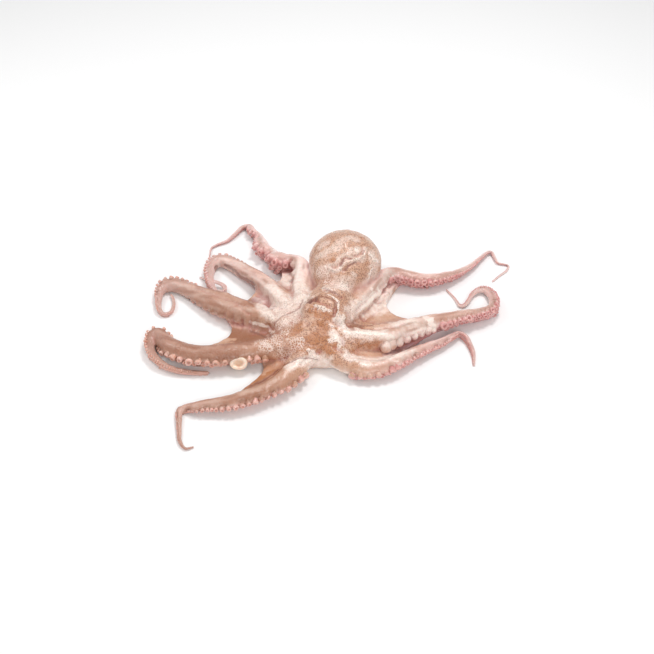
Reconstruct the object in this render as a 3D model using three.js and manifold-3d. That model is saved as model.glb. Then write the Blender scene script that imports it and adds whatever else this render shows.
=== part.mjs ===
// A whole raw octopus, lying mouth down: the mantle rests behind the head, and eight arms
// spread from the crown, joined by webs of skin. Millimetres, +Z up. The origin is on the
// resting plane under the mouth, +Y runs back to the mantle and +X to the animal's wide side.
import * as THREE from 'three';
import { mergeVertices } from 'three/addons/utils/BufferGeometryUtils.js';
import Module from 'manifold-3d';

const wasm = await Module();
wasm.setup();

// ---------------------------------------------------------------- driving dimensions

// The arms, from the crown to the tip. Each row is [x, y, z, half width, roll]: a point on the
// arm's core, half the arm's width there, and how far the sucker side is turned, in degrees,
// away from facing down. A positive roll turns it to the right of the way the arm runs.
const ARMS = {
  front_left: [
    [-2, -2, 20, 18, 0], [-22, -39, 14, 17, -20], [-42, -70, 11, 15, -35],
    [-68, -89, 11, 13, -40], [-94, -101, 10, 12.5, -45], [-112, -106, 9, 11.5, -45],
    [-128, -107, 8, 9.5, -45], [-143, -109, 7, 8.8, -45], [-158, -108, 5, 5.8, -20],
    [-167, -113, 4, 4.4, 30], [-167, -127, 3.5, 3.8, 60], [-165, -146, 3, 2.9, 60],
    [-163, -161, 2.5, 2.5, 60], [-156, -172, 2, 1.8, 60], [-146, -169, 1.4, 1, 60],
  ],
  left: [
    [-7, -6, 20, 19, 0], [-42, -11, 16, 18, -10], [-71, -16, 14, 17, -25],
    [-99, -22, 14, 16, -35], [-130, -27, 14, 16, -40], [-159, -25, 14, 15.5, -40],
    [-183, -12, 13, 14, -30], [-197, 3, 12, 11, 10], [-207, 18, 11, 9, 50], [-215, 16, 9, 8, 75],
    [-217, 0, 8, 7.5, 80], [-211, -18, 7, 6.8, 80], [-197, -34, 6, 5.8, 80],
    [-178, -43, 4.8, 4.8, 80], [-157, -46, 3.8, 3.8, 80], [-138, -45, 2.8, 2.6, 80],
  ],
  back_left_low: [
    [-12, 7, 22, 19, 0], [-43, 31, 18, 18, -5], [-74, 47, 15, 18, -15], [-103, 59, 13, 19.5, -20],
    [-130, 75, 12, 18, -14], [-153, 91, 11, 13.5, 6], [-174, 107, 10, 10.5, 40],
    [-194, 119, 9, 9.8, 65], [-209, 119, 8, 9, 80], [-215, 107, 7, 7, 80],
    [-215, 91, 5.5, 5.2, 80], [-213, 76, 4.5, 4.2, 80], [-206, 66, 3.5, 3.4, 80],
    [-197, 70, 3, 3, 80], [-194, 84, 3, 2.6, 80], [-196, 97, 3.5, 2, 80], [-200, 106, 4, 1.4, 80],
  ],
  back_left_high: [
    [-10, 13, 24, 18, 0], [-32, 50, 22, 16, 0], [-54, 86, 19, 14.5, 0], [-78, 121, 15, 12.5, 0],
    [-100, 144, 12, 11, 20], [-119, 163, 10, 9.8, 45], [-136, 173, 9, 9, 70],
    [-147, 166, 8.5, 8.8, 80], [-151, 148, 7.5, 8, 85], [-148, 128, 6, 6.4, 85],
    [-141, 113, 4.5, 4.8, 85], [-132, 110, 4, 4, 85], [-127, 117, 4.5, 3.3, 85],
    [-132, 125, 6, 2.6, 85], [-143, 129, 8, 1.9, 85], [-154, 137, 5, 1.3, 85],
    [-164, 145, 1.6, 1, 85],
  ],
  back_left: [
    [-9, 17, 27, 18, 0], [-18, 56, 27, 16, 0], [-22, 88, 27, 14.5, -10],
    [-21, 117, 26, 13.5, -20], [-24, 142, 23, 13, -40], [-34, 156, 18, 13.5, -60],
    [-47, 158, 15, 16, -70], [-60, 168, 13, 15.5, -70], [-66, 184, 11, 9.5, -70],
    [-79, 194, 9.5, 14, -70], [-85, 228, 8, 6, -70], [-95, 239, 7, 8, -70],
    [-100, 257, 5.5, 4, -60], [-111, 255, 4.5, 3.6, -60], [-121, 240, 3.6, 3.2, -60],
    [-131, 226, 3, 2.6, -60], [-146, 217, 2.4, 1.9, -60], [-153, 209, 2, 1.5, -60],
    [-154, 193, 1.5, 1, -60],
  ],
  back_right: [
    [13, 14, 26, 17, 0], [37, 43, 25, 17, 10], [57, 74, 23, 16, 20], [75, 104, 20, 15, 30],
    [90, 125, 18, 13, 45], [104, 133, 15.5, 12.5, 55], [119, 131, 13, 12, 55],
    [139, 126, 11.5, 11.5, 55], [161, 129, 10, 10.5, 55], [184, 141, 8, 7.8, 55],
    [208, 160, 6, 5, 55], [225, 181, 4.5, 3.6, 55], [238, 197, 3.8, 2.6, 55],
    [245, 199, 3.3, 2.4, 55], [248, 188, 3, 2.2, 55], [251, 177, 2.5, 1.8, 55],
    [259, 174, 2, 1.5, 55], [266, 171, 1.8, 1.3, 55], [262, 160, 1.5, 1.1, 55],
    [252, 150, 1.4, 1, 55], [240, 137, 1.2, 0.9, 55],
  ],
  right: [
    [11, -3, 24, 19, 0], [39, 1, 21, 19, 15], [67, 0, 18, 18.5, 30], [97, 11, 16, 18, 45],
    [126, 25, 14, 16.5, 50], [157, 37, 12.5, 14.5, 55], [187, 49, 11, 12, 60],
    [212, 56, 10, 10.5, 70], [229, 65, 9.5, 9.6, 80], [236, 80, 9, 8.4, 90],
    [235, 97, 8, 6.8, 90], [228, 111, 7, 5, 90], [219, 113, 6, 3.8, 90], [209, 105, 5, 3.2, 90],
    [202, 92, 4, 2.8, 90], [196, 84, 3.2, 2.4, 90], [190, 85, 2.8, 2, 90],
    [187, 94, 2.4, 1.6, 90], [183, 104, 2, 1.4, 90], [175, 119, 1.4, 1, 90],
  ],
  front_right: [
    [8, -13, 20, 17, 0], [33, -36, 13, 15.5, 20], [56, -46, 10, 14.5, 30],
    [76, -46, 9.5, 13.2, 40], [98, -35, 9.5, 11.5, 45], [120, -18, 8.5, 10, 45],
    [141, -4, 7.5, 8, 45], [158, 6, 6.5, 6.8, 45], [175, 19, 6, 5.2, 60], [184, 25, 6, 4.2, 80],
    [192, 19, 5.5, 4.4, 90], [197, 5, 4.5, 3.9, 90], [200, -11, 3.5, 3.2, 90],
    [199, -30, 2, 1.8, 90],
  ],
};

// An arm's section: rounded above, flatter below, and wider towards its two rows of suckers.
const ARM_SIDES = 8;
const RING_SPACING = 9;
const SECTION_ABOVE = 0.95; // height above the core, as a share of the half width
const SECTION_BELOW = 0.68;
const SECTION_FLARE = 0.25;

// Suckers stand in two staggered rows. Sizes are shares of the arm's half width.
const SUCKER_SIDES = 6;
const SUCKER_SPACING = 0.62;
const SUCKER_RADIUS = 0.26;
const SUCKER_ROW = 0.74; // how far from the middle of the sucker side
const SUCKER_DEPTH = 0.5; // how far below the core
const SUCKER_SPLAY = 0.7; // how far the rows face apart
const SUCKER_FROM = 62; // distance from the crown to the first sucker in the open
const SUCKERS_HIDDEN = -0.6; // those that face down more than this are pressed out of sight
const SMALLEST_SUCKER = 2.8; // smaller ones are part of the arm's outline
const GREAT_SUCKER = { at: [-99, -36, 11], radius: 10, facing: [-0.1, -0.82, 0.5] };

// The webs, each from one arm to the next: how far along each arm the free edge meets it, and
// the point that the edge draws in to.
const WEBS = [
  ['front_left', 165, 'left', 120, [-69, -34, 4]],
  ['left', 185, 'back_left_low', 195, [-113, 28, 6]],
  ['back_left_low', 150, 'back_left_high', 150, [-92, 87, 13]],
  ['back_left_high', 140, 'back_left', 165, [-56, 117, 18]],
  ['back_left', 140, 'back_right', 140, [16, 112, 32]],
  ['back_right', 165, 'right', 165, [95, 62, 13]],
  ['right', 165, 'front_right', 150, [112, -10, 6]],
  ['front_right', 80, 'front_left', 80, [11, -30, 6]],
];
const WEB_ACROSS = 6;
const WEB_OUTWARD = 4;
const WEB_STARTS = 0.15; // share of the way out where the web leaves the crown's core
const WEB_PEAK = 34; // height of the webs where they meet over the mouth
const WEB_THICKNESS = 4;
const WEB_OVERLAP = 0.35; // share of an arm's half width by which a web passes its core

// The soft body. The heading is the way from the crown to the end of the mantle.
const BODY_HEADING = new THREE.Vector3(0.31, 0.95, 0).normalize();
const MANTLE = { at: [34, 122, 41], width: 49, length: 57, height: 41, neck: 0.22 };
const HEAD = { at: [14, 48, 28], width: 33, length: 56, height: 28, neck: 0 };
const CROWN = { at: [-2, 7, 10], width: 64, length: 43, height: 30, neck: 0 };
const EYE = { from: [8, 20], across: 21, height: 44, radius: 10 };
const BALL_SIDES = 18;
const BALL_RINGS = 12;

const ABOVE_SURFACE = 300; // edge of the block that keeps only what is above the resting plane

// ---------------------------------------------------------------- routes and frames

// A value between knots b and c of an even Catmull-Rom curve.
function blend(a, b, c, d, t) {
  const cubic = -a + 3 * b - 3 * c + d;
  const square = 2 * a - 5 * b + 4 * c - d;
  return 0.5 * (2 * b + (c - a) * t + square * t * t + cubic * t * t * t);
}

// The arm's row of five values at a place counted in knots, such as 2.5.
function rowAt(rows, place) {
  const last = rows.length - 1;
  const k = Math.min(Math.floor(place), last - 1);
  return rows[0].map((_, i) => {
    const b = rows[k][i];
    const c = rows[k + 1][i];
    const a = k > 0 ? rows[k - 1][i] : 2 * b - c;
    const d = k + 1 < last ? rows[k + 2][i] : 2 * c - b;
    return blend(a, b, c, d, place - k);
  });
}

const STEPS_PER_KNOT = 24;

// The arm's stations, evenly fine: place in knots and distance from the crown.
function stationsOf(rows) {
  const steps = (rows.length - 1) * STEPS_PER_KNOT;
  const stations = [];
  let along = 0;
  let before = null;
  for (let i = 0; i <= steps; i++) {
    const place = i / STEPS_PER_KNOT;
    const here = new THREE.Vector3(...rowAt(rows, place).slice(0, 3));
    if (before) along += here.distanceTo(before);
    stations.push({ place, along });
    before = here;
  }
  return stations;
}

// The arm's core, half width and directions at a distance from the crown. Up is the way its
// back faces, and side is to the left of the way it runs when the back is up.
function frameAt(arm, along) {
  const { rows, stations } = arm;
  const found = stations.findIndex((s) => s.along >= along);
  const i = found < 1 ? (found === 0 ? 1 : stations.length - 1) : found;
  const share = (along - stations[i - 1].along) / (stations[i].along - stations[i - 1].along);
  const place = THREE.MathUtils.lerp(stations[i - 1].place, stations[i].place, share);
  const [x, y, z, halfWidth, roll] = rowAt(rows, place);
  const reach = 0.5 / STEPS_PER_KNOT;
  const ahead = rowAt(rows, Math.min(place + reach, rows.length - 1));
  const behind = rowAt(rows, Math.max(place - reach, 0));
  const run = new THREE.Vector3(
    ahead[0] - behind[0], ahead[1] - behind[1], ahead[2] - behind[2]).normalize();
  const level = new THREE.Vector3(0, 0, 1).cross(run).normalize();
  const upright = run.clone().cross(level);
  const turn = THREE.MathUtils.degToRad(roll);
  const up = upright.clone().multiplyScalar(Math.cos(turn)).addScaledVector(level, Math.sin(turn));
  const side = level.multiplyScalar(Math.cos(turn)).addScaledVector(upright, -Math.sin(turn));
  return { core: new THREE.Vector3(x, y, z), halfWidth, up, side };
}

const arms = Object.fromEntries(Object.entries(ARMS).map(([name, rows]) => {
  const stations = stationsOf(rows);
  return [name, { rows, stations, length: stations.at(-1).along }];
}));

// ---------------------------------------------------------------- shapes

// Moves every vertex of a closed stock geometry, and gives it back as a manifold-3d solid.
function solidFrom(stock, place) {
  const points = stock.getAttribute('position');
  const point = new THREE.Vector3();
  for (let i = 0; i < points.count; i++) {
    point.fromBufferAttribute(points, i);
    place(point);
    points.setXYZ(i, point.x, point.y, point.z);
  }
  stock.deleteAttribute('normal');
  stock.deleteAttribute('uv');
  const merged = mergeVertices(stock, 1e-4);
  return new wasm.Manifold(new wasm.Mesh({
    numProp: 3,
    vertProperties: merged.attributes.position.array,
    triVerts: new Uint32Array(merged.index.array),
  }));
}

// A cylinder bent along the arm, with the arm's own section at each ring.
function armSolid(arm) {
  const rings = Math.round(arm.length / RING_SPACING);
  const stock = new THREE.CylinderGeometry(1, 1, 1, ARM_SIDES, rings);
  return solidFrom(stock, (p) => {
    const { core, halfWidth, up, side } = frameAt(arm, (0.5 + p.y) * arm.length);
    const angle = Math.atan2(p.x, p.z) + Math.PI / ARM_SIDES;
    const reach = Math.hypot(p.x, p.z) * halfWidth;
    const lift = Math.sin(angle);
    const out = Math.cos(angle) * (1 + SECTION_FLARE * Math.max(0, -lift));
    p.copy(core)
      .addScaledVector(side, out * reach)
      .addScaledVector(up, lift * reach * (lift > 0 ? SECTION_ABOVE : SECTION_BELOW));
  });
}

// A web: a skirt from the resting plane up to the skin. Each of its lines out from the crown
// keeps pace with the arms on both sides, so the web stays joined to them as they bend.
function webSolid([first, alongFirst, second, alongSecond, notch]) {
  const draw = new THREE.Vector3(...notch);
  const acrossAt = (out) => {
    const from = frameAt(arms[first], alongFirst * out);
    const to = frameAt(arms[second], alongSecond * out);
    const a = from.core.clone().addScaledVector(from.side, WEB_OVERLAP * from.halfWidth);
    const b = to.core.clone().addScaledVector(to.side, -WEB_OVERLAP * to.halfWidth);
    const pull = draw.clone().multiplyScalar(2 * out).addScaledVector(a, -0.5)
      .addScaledVector(b, -0.5);
    return new THREE.QuadraticBezierCurve3(a, pull, b);
  };
  const edge = acrossAt(1);
  const stock = new THREE.BoxGeometry(1, 1, 1, WEB_ACROSS, WEB_OUTWARD, 1);
  return solidFrom(stock, (p) => {
    const out = THREE.MathUtils.lerp(WEB_STARTS, 1, p.y + 0.5);
    const here = acrossAt(out).getPoint(0.5 + p.x);
    const low = edge.getPoint(0.5 + p.x).z + WEB_THICKNESS / 2;
    const skin = THREE.MathUtils.lerp(WEB_PEAK, low, Math.sqrt(out));
    p.set(here.x, here.y, p.z > 0 ? skin : -WEB_THICKNESS);
  });
}

// A ball stretched to the body's own sizes, and narrower towards the crown where neck says.
function bodySolid({ at, width, length, height, neck }) {
  const across = new THREE.Vector3(BODY_HEADING.y, -BODY_HEADING.x, 0);
  const middle = new THREE.Vector3(...at);
  const stock = new THREE.SphereGeometry(1, BALL_SIDES, BALL_RINGS);
  return solidFrom(stock, (p) => {
    const girth = 1 + neck * Math.sin(p.y * Math.PI / 2) * (p.y < 0 ? 1 : 0.35);
    const [x, y, z] = [p.x * width * girth, p.y * length, p.z * height * girth];
    p.copy(middle).addScaledVector(across, x).addScaledVector(BODY_HEADING, y);
    p.z += z;
  });
}

// A sucker: a stem that tapers into the flesh, a rim, and a cup.
function suckerSolid(at, facing, radius) {
  const profile = [[0, -1.6], [1.02, 0.35], [0.68, 0.75], [0, 0.2]]
    .map(([x, y]) => new THREE.Vector2(x * radius, y * radius));
  const stock = new THREE.LatheGeometry(profile, SUCKER_SIDES);
  const turn = new THREE.Quaternion().setFromUnitVectors(
    new THREE.Vector3(0, 1, 0), facing.clone().normalize());
  return solidFrom(stock, (p) => p.applyQuaternion(turn).add(at));
}

// The suckers of one arm, in two rows with their steps half a space apart.
function suckersOf(arm) {
  const made = [];
  for (const row of [-1, 1]) {
    let along = SUCKER_FROM + (row > 0 ? 3 : 0);
    while (along < arm.length) {
      const { core, halfWidth, up, side } = frameAt(arm, along);
      const radius = halfWidth * SUCKER_RADIUS;
      if (radius < SMALLEST_SUCKER) break;
      const at = core.clone().addScaledVector(side, row * SUCKER_ROW * halfWidth)
        .addScaledVector(up, -SUCKER_DEPTH * halfWidth);
      const facing = side.clone().multiplyScalar(row * SUCKER_SPLAY).sub(up);
      if (facing.z > SUCKERS_HIDDEN * facing.length()) {
        made.push(suckerSolid(at, facing, radius));
      }
      along += halfWidth * SUCKER_SPACING;
    }
  }
  return made;
}

function eyeSolid(hand) {
  const across = new THREE.Vector3(BODY_HEADING.y, -BODY_HEADING.x, 0);
  const at = new THREE.Vector3(...EYE.from, EYE.height)
    .addScaledVector(across, hand * EYE.across);
  const stock = new THREE.SphereGeometry(EYE.radius, 12, 8);
  return solidFrom(stock, (p) => p.add(at));
}

// ---------------------------------------------------------------- the octopus

const pieces = [
  ...Object.values(arms).map(armSolid),
  ...WEBS.map(webSolid),
  ...[MANTLE, HEAD, CROWN].map(bodySolid),
  ...[-1, 1].map(eyeSolid),
  ...Object.values(arms).flatMap(suckersOf),
  suckerSolid(new THREE.Vector3(...GREAT_SUCKER.at),
    new THREE.Vector3(...GREAT_SUCKER.facing), GREAT_SUCKER.radius),
];
const block = new THREE.BoxGeometry(2 * ABOVE_SURFACE, 2 * ABOVE_SURFACE, ABOVE_SURFACE);
const above = solidFrom(block, (p) => p.setZ(p.z + ABOVE_SURFACE / 2));
const whole = pieces.reduce((sum, piece) => sum.add(piece)).intersect(above);

const { vertProperties, triVerts } = whole.getMesh();
const geometry = new THREE.BufferGeometry()
  .setAttribute('position', new THREE.BufferAttribute(vertProperties, 3))
  .setIndex(new THREE.BufferAttribute(triVerts, 1));
geometry.computeVertexNormals();

const skin = new THREE.MeshStandardMaterial({ color: 0xd9b49c, roughness: 0.35, metalness: 0 });
const octopus = new THREE.Mesh(geometry, skin);
octopus.name = 'octopus';

const group = new THREE.Group();
group.add(octopus);

export default group;
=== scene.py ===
# %% [markdown]
# # A whole raw octopus
# The animal lies mouth down on a pale table. A ball of a mantle rests behind the head, and
# eight arms run out over the table from the crown, joined near the middle by webs of skin.
# It is one soft body, so it is built as one: simple closed forms are laid over each other,
# fused into a single skin, and that skin is then modelled and painted. The suckers and the
# thinnest ends of the arms are too fine for that and are made as pieces of their own.

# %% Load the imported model
import math
import bpy
import numpy as np
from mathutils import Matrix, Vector
from mathutils.kdtree import KDTree


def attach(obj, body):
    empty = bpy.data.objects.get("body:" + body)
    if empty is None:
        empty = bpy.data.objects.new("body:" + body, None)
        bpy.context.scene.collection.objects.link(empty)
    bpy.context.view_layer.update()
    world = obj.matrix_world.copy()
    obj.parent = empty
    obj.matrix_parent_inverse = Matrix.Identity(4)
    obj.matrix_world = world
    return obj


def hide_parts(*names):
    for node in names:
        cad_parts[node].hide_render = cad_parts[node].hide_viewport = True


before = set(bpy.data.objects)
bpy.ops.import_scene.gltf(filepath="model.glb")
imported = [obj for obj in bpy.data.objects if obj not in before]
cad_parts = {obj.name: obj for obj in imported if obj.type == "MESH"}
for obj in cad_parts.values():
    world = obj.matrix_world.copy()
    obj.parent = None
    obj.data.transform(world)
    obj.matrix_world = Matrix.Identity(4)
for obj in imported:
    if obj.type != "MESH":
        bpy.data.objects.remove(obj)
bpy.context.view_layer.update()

MM = 0.001  # every size below is in millimetres, and becomes metres as it enters Blender
CLEARANCE = 0.05  # the least height of the skin above the table top

# %% [markdown]
# ## The camera
# Food is often shown from the height of someone standing at the counter, here 42 degrees
# above the table. A long lens from a step away keeps the near arms from looking too big.

# %% Camera
TARGET = Vector((0.012, 0.045, 0.0))  # metres
DISTANCE = 1.56  # metres
ELEVATION = math.radians(42)
camera_data = bpy.data.cameras.new("counter_camera")
camera_data.lens = 65
camera_data.sensor_width = 36
camera = bpy.data.objects.new("counter_camera", camera_data)
bpy.context.scene.collection.objects.link(camera)
camera.location = TARGET + DISTANCE * Vector((0, -math.cos(ELEVATION), math.sin(ELEVATION)))
camera.rotation_euler = (TARGET - camera.location).to_track_quat("-Z", "Y").to_euler()
bpy.context.scene.camera = camera
print("camera at", [round(v, 3) for v in camera.location])

# %% [markdown]
# ## The run of each arm
# An arm is a row of stations from the crown to the tip. Each gives a point on the arm's core,
# half the arm's width there, and its roll: how far the sucker side turns away from facing the
# table, in degrees, to the right of the way the arm runs when it is above zero. Few stations
# are enough, because a smooth curve is drawn through them.

# %% Arm stations
ARMS = {
    "front_left": [
        (-2, -2, 20, 18, 0), (-22, -39, 14, 17, -20), (-42, -70, 11, 15, -35),
        (-68, -89, 11, 13, -40), (-94, -101, 10, 12.5, -45), (-112, -106, 9, 11.5, -45),
        (-128, -107, 8, 9.5, -45), (-143, -109, 7, 8.8, -45), (-158, -108, 5, 5.8, -20),
        (-167, -113, 4, 4.4, 30), (-167, -127, 3.5, 3.8, 60), (-165, -146, 3, 2.9, 60),
        (-163, -161, 2.5, 2.5, 60), (-156, -172, 2, 1.8, 60), (-146, -169, 1.4, 1, 60)],
    "left": [
        (-7, -6, 20, 19, 0), (-42, -11, 16, 18, -10), (-71, -16, 14, 17, -25),
        (-99, -22, 14, 16, -35), (-130, -27, 14, 16, -40), (-159, -25, 14, 15.5, -40),
        (-183, -12, 13, 14, -30), (-197, 3, 12, 11, 10), (-207, 18, 11, 9, 50),
        (-215, 16, 9, 8, 75), (-217, 0, 8, 7.5, 80), (-211, -18, 7, 6.8, 80),
        (-197, -34, 6, 5.8, 80), (-178, -43, 4.8, 4.8, 80), (-157, -46, 3.8, 3.8, 80),
        (-138, -45, 2.8, 2.6, 80)],
    "back_left_low": [
        (-12, 7, 22, 19, 0), (-43, 31, 18, 18, -5), (-74, 47, 15, 18, -15),
        (-103, 59, 13, 19.5, -20), (-130, 75, 12, 18, -14), (-153, 91, 11, 13.5, 6),
        (-174, 107, 10, 10.5, 40), (-194, 119, 9, 9.8, 65), (-209, 119, 8, 9, 80),
        (-215, 107, 7, 7, 80), (-215, 91, 5.5, 5.2, 80), (-213, 76, 4.5, 4.2, 80),
        (-206, 66, 3.5, 3.4, 80), (-197, 70, 3, 3, 80), (-194, 84, 3, 2.6, 80),
        (-196, 97, 3.5, 2, 80), (-200, 106, 4, 1.4, 80)],
    "back_left_high": [
        (-10, 13, 24, 18, 0), (-32, 50, 22, 16, 0), (-54, 86, 19, 14.5, 0),
        (-78, 121, 15, 12.5, 0), (-100, 144, 12, 11, 20), (-119, 163, 10, 9.8, 45),
        (-136, 173, 9, 9, 70), (-147, 166, 8.5, 8.8, 80), (-151, 148, 7.5, 8, 85),
        (-148, 128, 6, 6.4, 85), (-141, 113, 4.5, 4.8, 85), (-132, 110, 4, 4, 85),
        (-127, 117, 4.5, 3.3, 85), (-132, 125, 6, 2.6, 85), (-143, 129, 8, 1.9, 85),
        (-154, 137, 5, 1.3, 85), (-164, 145, 1.6, 1, 85)],
    "back_left": [
        (-9, 17, 27, 18, 0), (-18, 56, 27, 16, 0), (-22, 88, 27, 14.5, -10),
        (-21, 117, 26, 13.5, -20), (-24, 142, 23, 13, -40), (-34, 156, 18, 13.5, -60),
        (-47, 158, 15, 16, -70), (-60, 168, 13, 15.5, -70), (-66, 184, 11, 9.5, -70),
        (-79, 194, 9.5, 14, -70), (-85, 228, 8, 6, -70), (-95, 239, 7, 8, -70),
        (-100, 257, 5.5, 4, -60), (-111, 255, 4.5, 3.6, -60), (-121, 240, 3.6, 3.2, -60),
        (-131, 226, 3, 2.6, -60), (-146, 217, 2.4, 1.9, -60), (-153, 209, 2, 1.5, -60),
        (-154, 193, 1.5, 1, -60)],
    "back_right": [
        (13, 14, 26, 17, 0), (37, 43, 25, 17, 10), (57, 74, 23, 16, 20), (75, 104, 20, 15, 30),
        (90, 125, 18, 13, 45), (104, 133, 15.5, 12.5, 55), (119, 131, 13, 12, 55),
        (139, 126, 11.5, 11.5, 55), (161, 129, 10, 10.5, 55), (184, 141, 8, 7.8, 55),
        (208, 160, 6, 5, 55), (225, 181, 4.5, 3.6, 55), (238, 197, 3.8, 2.6, 55),
        (245, 199, 3.3, 2.4, 55), (248, 188, 3, 2.2, 55), (251, 177, 2.5, 1.8, 55),
        (259, 174, 2, 1.5, 55), (266, 171, 1.8, 1.3, 55), (262, 160, 1.5, 1.1, 55),
        (252, 150, 1.4, 1, 55), (240, 137, 1.2, 0.9, 55)],
    "right": [
        (11, -3, 24, 19, 0), (39, 1, 21, 19, 15), (67, 0, 18, 18.5, 30), (97, 11, 16, 18, 45),
        (126, 25, 14, 16.5, 50), (157, 37, 12.5, 14.5, 55), (187, 49, 11, 12, 60),
        (212, 56, 10, 10.5, 70), (229, 65, 9.5, 9.6, 80), (236, 80, 9, 8.4, 90),
        (235, 97, 8, 6.8, 90), (228, 111, 7, 5, 90), (219, 113, 6, 3.8, 90),
        (209, 105, 5, 3.2, 90), (202, 92, 4, 2.8, 90), (196, 84, 3.2, 2.4, 90),
        (190, 85, 2.8, 2, 90), (187, 94, 2.4, 1.6, 90), (183, 104, 2, 1.4, 90),
        (175, 119, 1.4, 1, 90)],
    "front_right": [
        (8, -13, 20, 17, 0), (33, -36, 13, 15.5, 20), (56, -46, 10, 14.5, 30),
        (76, -46, 9.5, 13.2, 40), (98, -35, 9.5, 11.5, 45), (120, -18, 8.5, 10, 45),
        (141, -4, 7.5, 8, 45), (158, 6, 6.5, 6.8, 45), (175, 19, 6, 5.2, 60),
        (184, 25, 6, 4.2, 80), (192, 19, 5.5, 4.4, 90), (197, 5, 4.5, 3.9, 90),
        (200, -11, 3.5, 3.2, 90), (199, -30, 2, 1.8, 90)],
}
print(len(ARMS), "arms,", sum(len(rows) for rows in ARMS.values()), "stations")

# %% [markdown]
# A Catmull-Rom curve passes through every station and bends evenly between them. It is
# sampled finely, with the distance from the crown and three directions kept at each sample:
# the way the arm runs, the way its back faces (up), and its left side.

# %% Smooth runs
STEPS = 24  # samples between two stations


def smooth_run(stations):
    rows = np.array(stations, float)
    padded = np.vstack([2 * rows[0] - rows[1], rows, 2 * rows[-1] - rows[-2]])
    pieces = []
    for k in range(len(rows) - 1):
        a, b, c, d = padded[k:k + 4]
        last = k == len(rows) - 2
        t = np.linspace(0, 1, STEPS + 1)[: None if last else -1, None]
        pieces.append(0.5 * (2 * b + (c - a) * t + (2 * a - 5 * b + 4 * c - d) * t ** 2
                             + (-a + 3 * b - 3 * c + d) * t ** 3))
    sample = np.vstack(pieces)
    core = sample[:, :3]
    run = np.gradient(core, axis=0)
    run /= np.linalg.norm(run, axis=1)[:, None]
    level = np.cross((0, 0, 1), run)
    level /= np.linalg.norm(level, axis=1)[:, None]
    upright = np.cross(run, level)
    turn = np.radians(sample[:, 4])[:, None]
    gaps = np.linalg.norm(np.diff(core, axis=0), axis=1)
    return {
        "along": np.concatenate([[0], np.cumsum(gaps)]),
        "core": core,
        "half": sample[:, 3],
        "run": run,
        "up": upright * np.cos(turn) + level * np.sin(turn),
        "side": level * np.cos(turn) - upright * np.sin(turn),
    }


def station_at(arm, along):
    place = np.interp(along, arm["along"], np.arange(len(arm["along"])))
    low = np.floor(place).astype(int).clip(0, len(arm["along"]) - 2)
    share = place - low
    blend = {}
    for name in ("core", "half", "run", "up", "side"):
        values = arm[name]
        t = share[..., None] if values.ndim == 2 else share
        blend[name] = values[low] * (1 - t) + values[low + 1] * t
    return blend


arms = {name: smooth_run(stations) for name, stations in ARMS.items()}
for name, arm in arms.items():
    print(f"{name}: {arm['along'][-1]:.0f} mm long")

# %% [markdown]
# ## Closed forms for the body
# Fusing needs closed meshes that overlap. Most of the animal's forms are tubes: rings of
# points, squares between them, and a fan of triangles to close each end.

# %% Closed tubes
def above_table(points, least=CLEARANCE):
    return np.column_stack([points[:, :2], np.maximum(points[:, 2], least)])


def tube_faces(rings, sides, open_start=False):
    faces = []
    for i in range(rings - 1):
        for j in range(sides):
            k = (j + 1) % sides
            faces.append((i * sides + j, i * sides + k, (i + 1) * sides + k, (i + 1) * sides + j))
    rim, first = (rings - 1) * sides, rings * sides
    last = first if open_start else first + 1
    for j in range(sides):
        k = (j + 1) % sides
        if not open_start:
            faces.append((first, k, j))
        faces.append((last, rim + j, rim + k))
    return faces


def with_middles(rings):
    return np.vstack(rings + [rings[0].mean(axis=0), rings[-1].mean(axis=0)])


def gather(heap, points, faces):
    base = sum(len(part) for part in heap[0])
    heap[0].append(points)
    heap[1].extend(tuple(base + v for v in face) for face in faces)


def new_piece(name, points, faces):
    mesh = bpy.data.meshes.new(name)
    mesh.from_pydata((np.asarray(points) * MM).tolist(), [], faces)
    mesh.validate()
    mesh.update()
    piece = bpy.data.objects.new(name, mesh)
    bpy.context.scene.collection.objects.link(piece)
    return piece


def smooth_piece(name, points, faces):
    piece = new_piece(name, above_table(points), faces)
    piece.data.polygons.foreach_set("use_smooth", [True] * len(piece.data.polygons))
    return piece


print("a tube of 3 rings of 4 points has", len(tube_faces(3, 4)), "faces")

# %% [markdown]
# An arm is a loft: the same section repeated along the run, rounded above, flatter below, and
# a little wider near the rows of suckers. It stops where it gets too thin for the fusing
# step, and a finer tip takes over from there.

# %% Lofts
ABOVE, BELOW, FLARE = 0.95, 0.64, 0.12  # height and depth of the section, and its lower bulge


def section(angle):
    lift = np.sin(angle)
    out = np.cos(angle) * (1 + FLARE * np.maximum(0, -lift))
    return out, lift * np.where(lift > 0, ABOVE, BELOW)


def loft(arm, start, stop, spacing, sides, thin=1.0):
    count = max(3, int((stop - start) / spacing) + 1)
    here = station_at(arm, np.linspace(start, stop, count))
    out, lift = section(np.linspace(0, 2 * np.pi, sides, endpoint=False))
    half = (here["half"] * thin)[:, None, None]
    rings = (here["core"][:, None] + half * (out[None, :, None] * here["side"][:, None]
                                             + lift[None, :, None] * here["up"][:, None]))
    ends = np.stack([here["core"][0], here["core"][-1] + here["run"][-1] * here["half"][-1]])
    return np.vstack([rings.reshape(-1, 3), ends]), tube_faces(count, sides)


THIN = 3.4  # half width where the fused body hands over to a fine tip
PAST_CROWN = 100  # no arm is thin before this length
forms = []
for name, arm in arms.items():
    is_thin = (arm["half"] < THIN) & (arm["along"] > PAST_CROWN)
    arm["fused_to"] = arm["along"][np.argmax(is_thin)]
    forms.append(loft(arm, 0, arm["fused_to"], spacing=2.5, sides=24))
    print(f"{name}: fused as far as {arm['fused_to']:.0f} mm")

# %% [markdown]
# Webs of skin join each arm to the next. Their free edge draws in between the arms, so it is
# a curve pulled towards the crown. The web is built as a skirt from that edge to the middle,
# high over the mouth and low at the edge, and solid down to the table.

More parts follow.
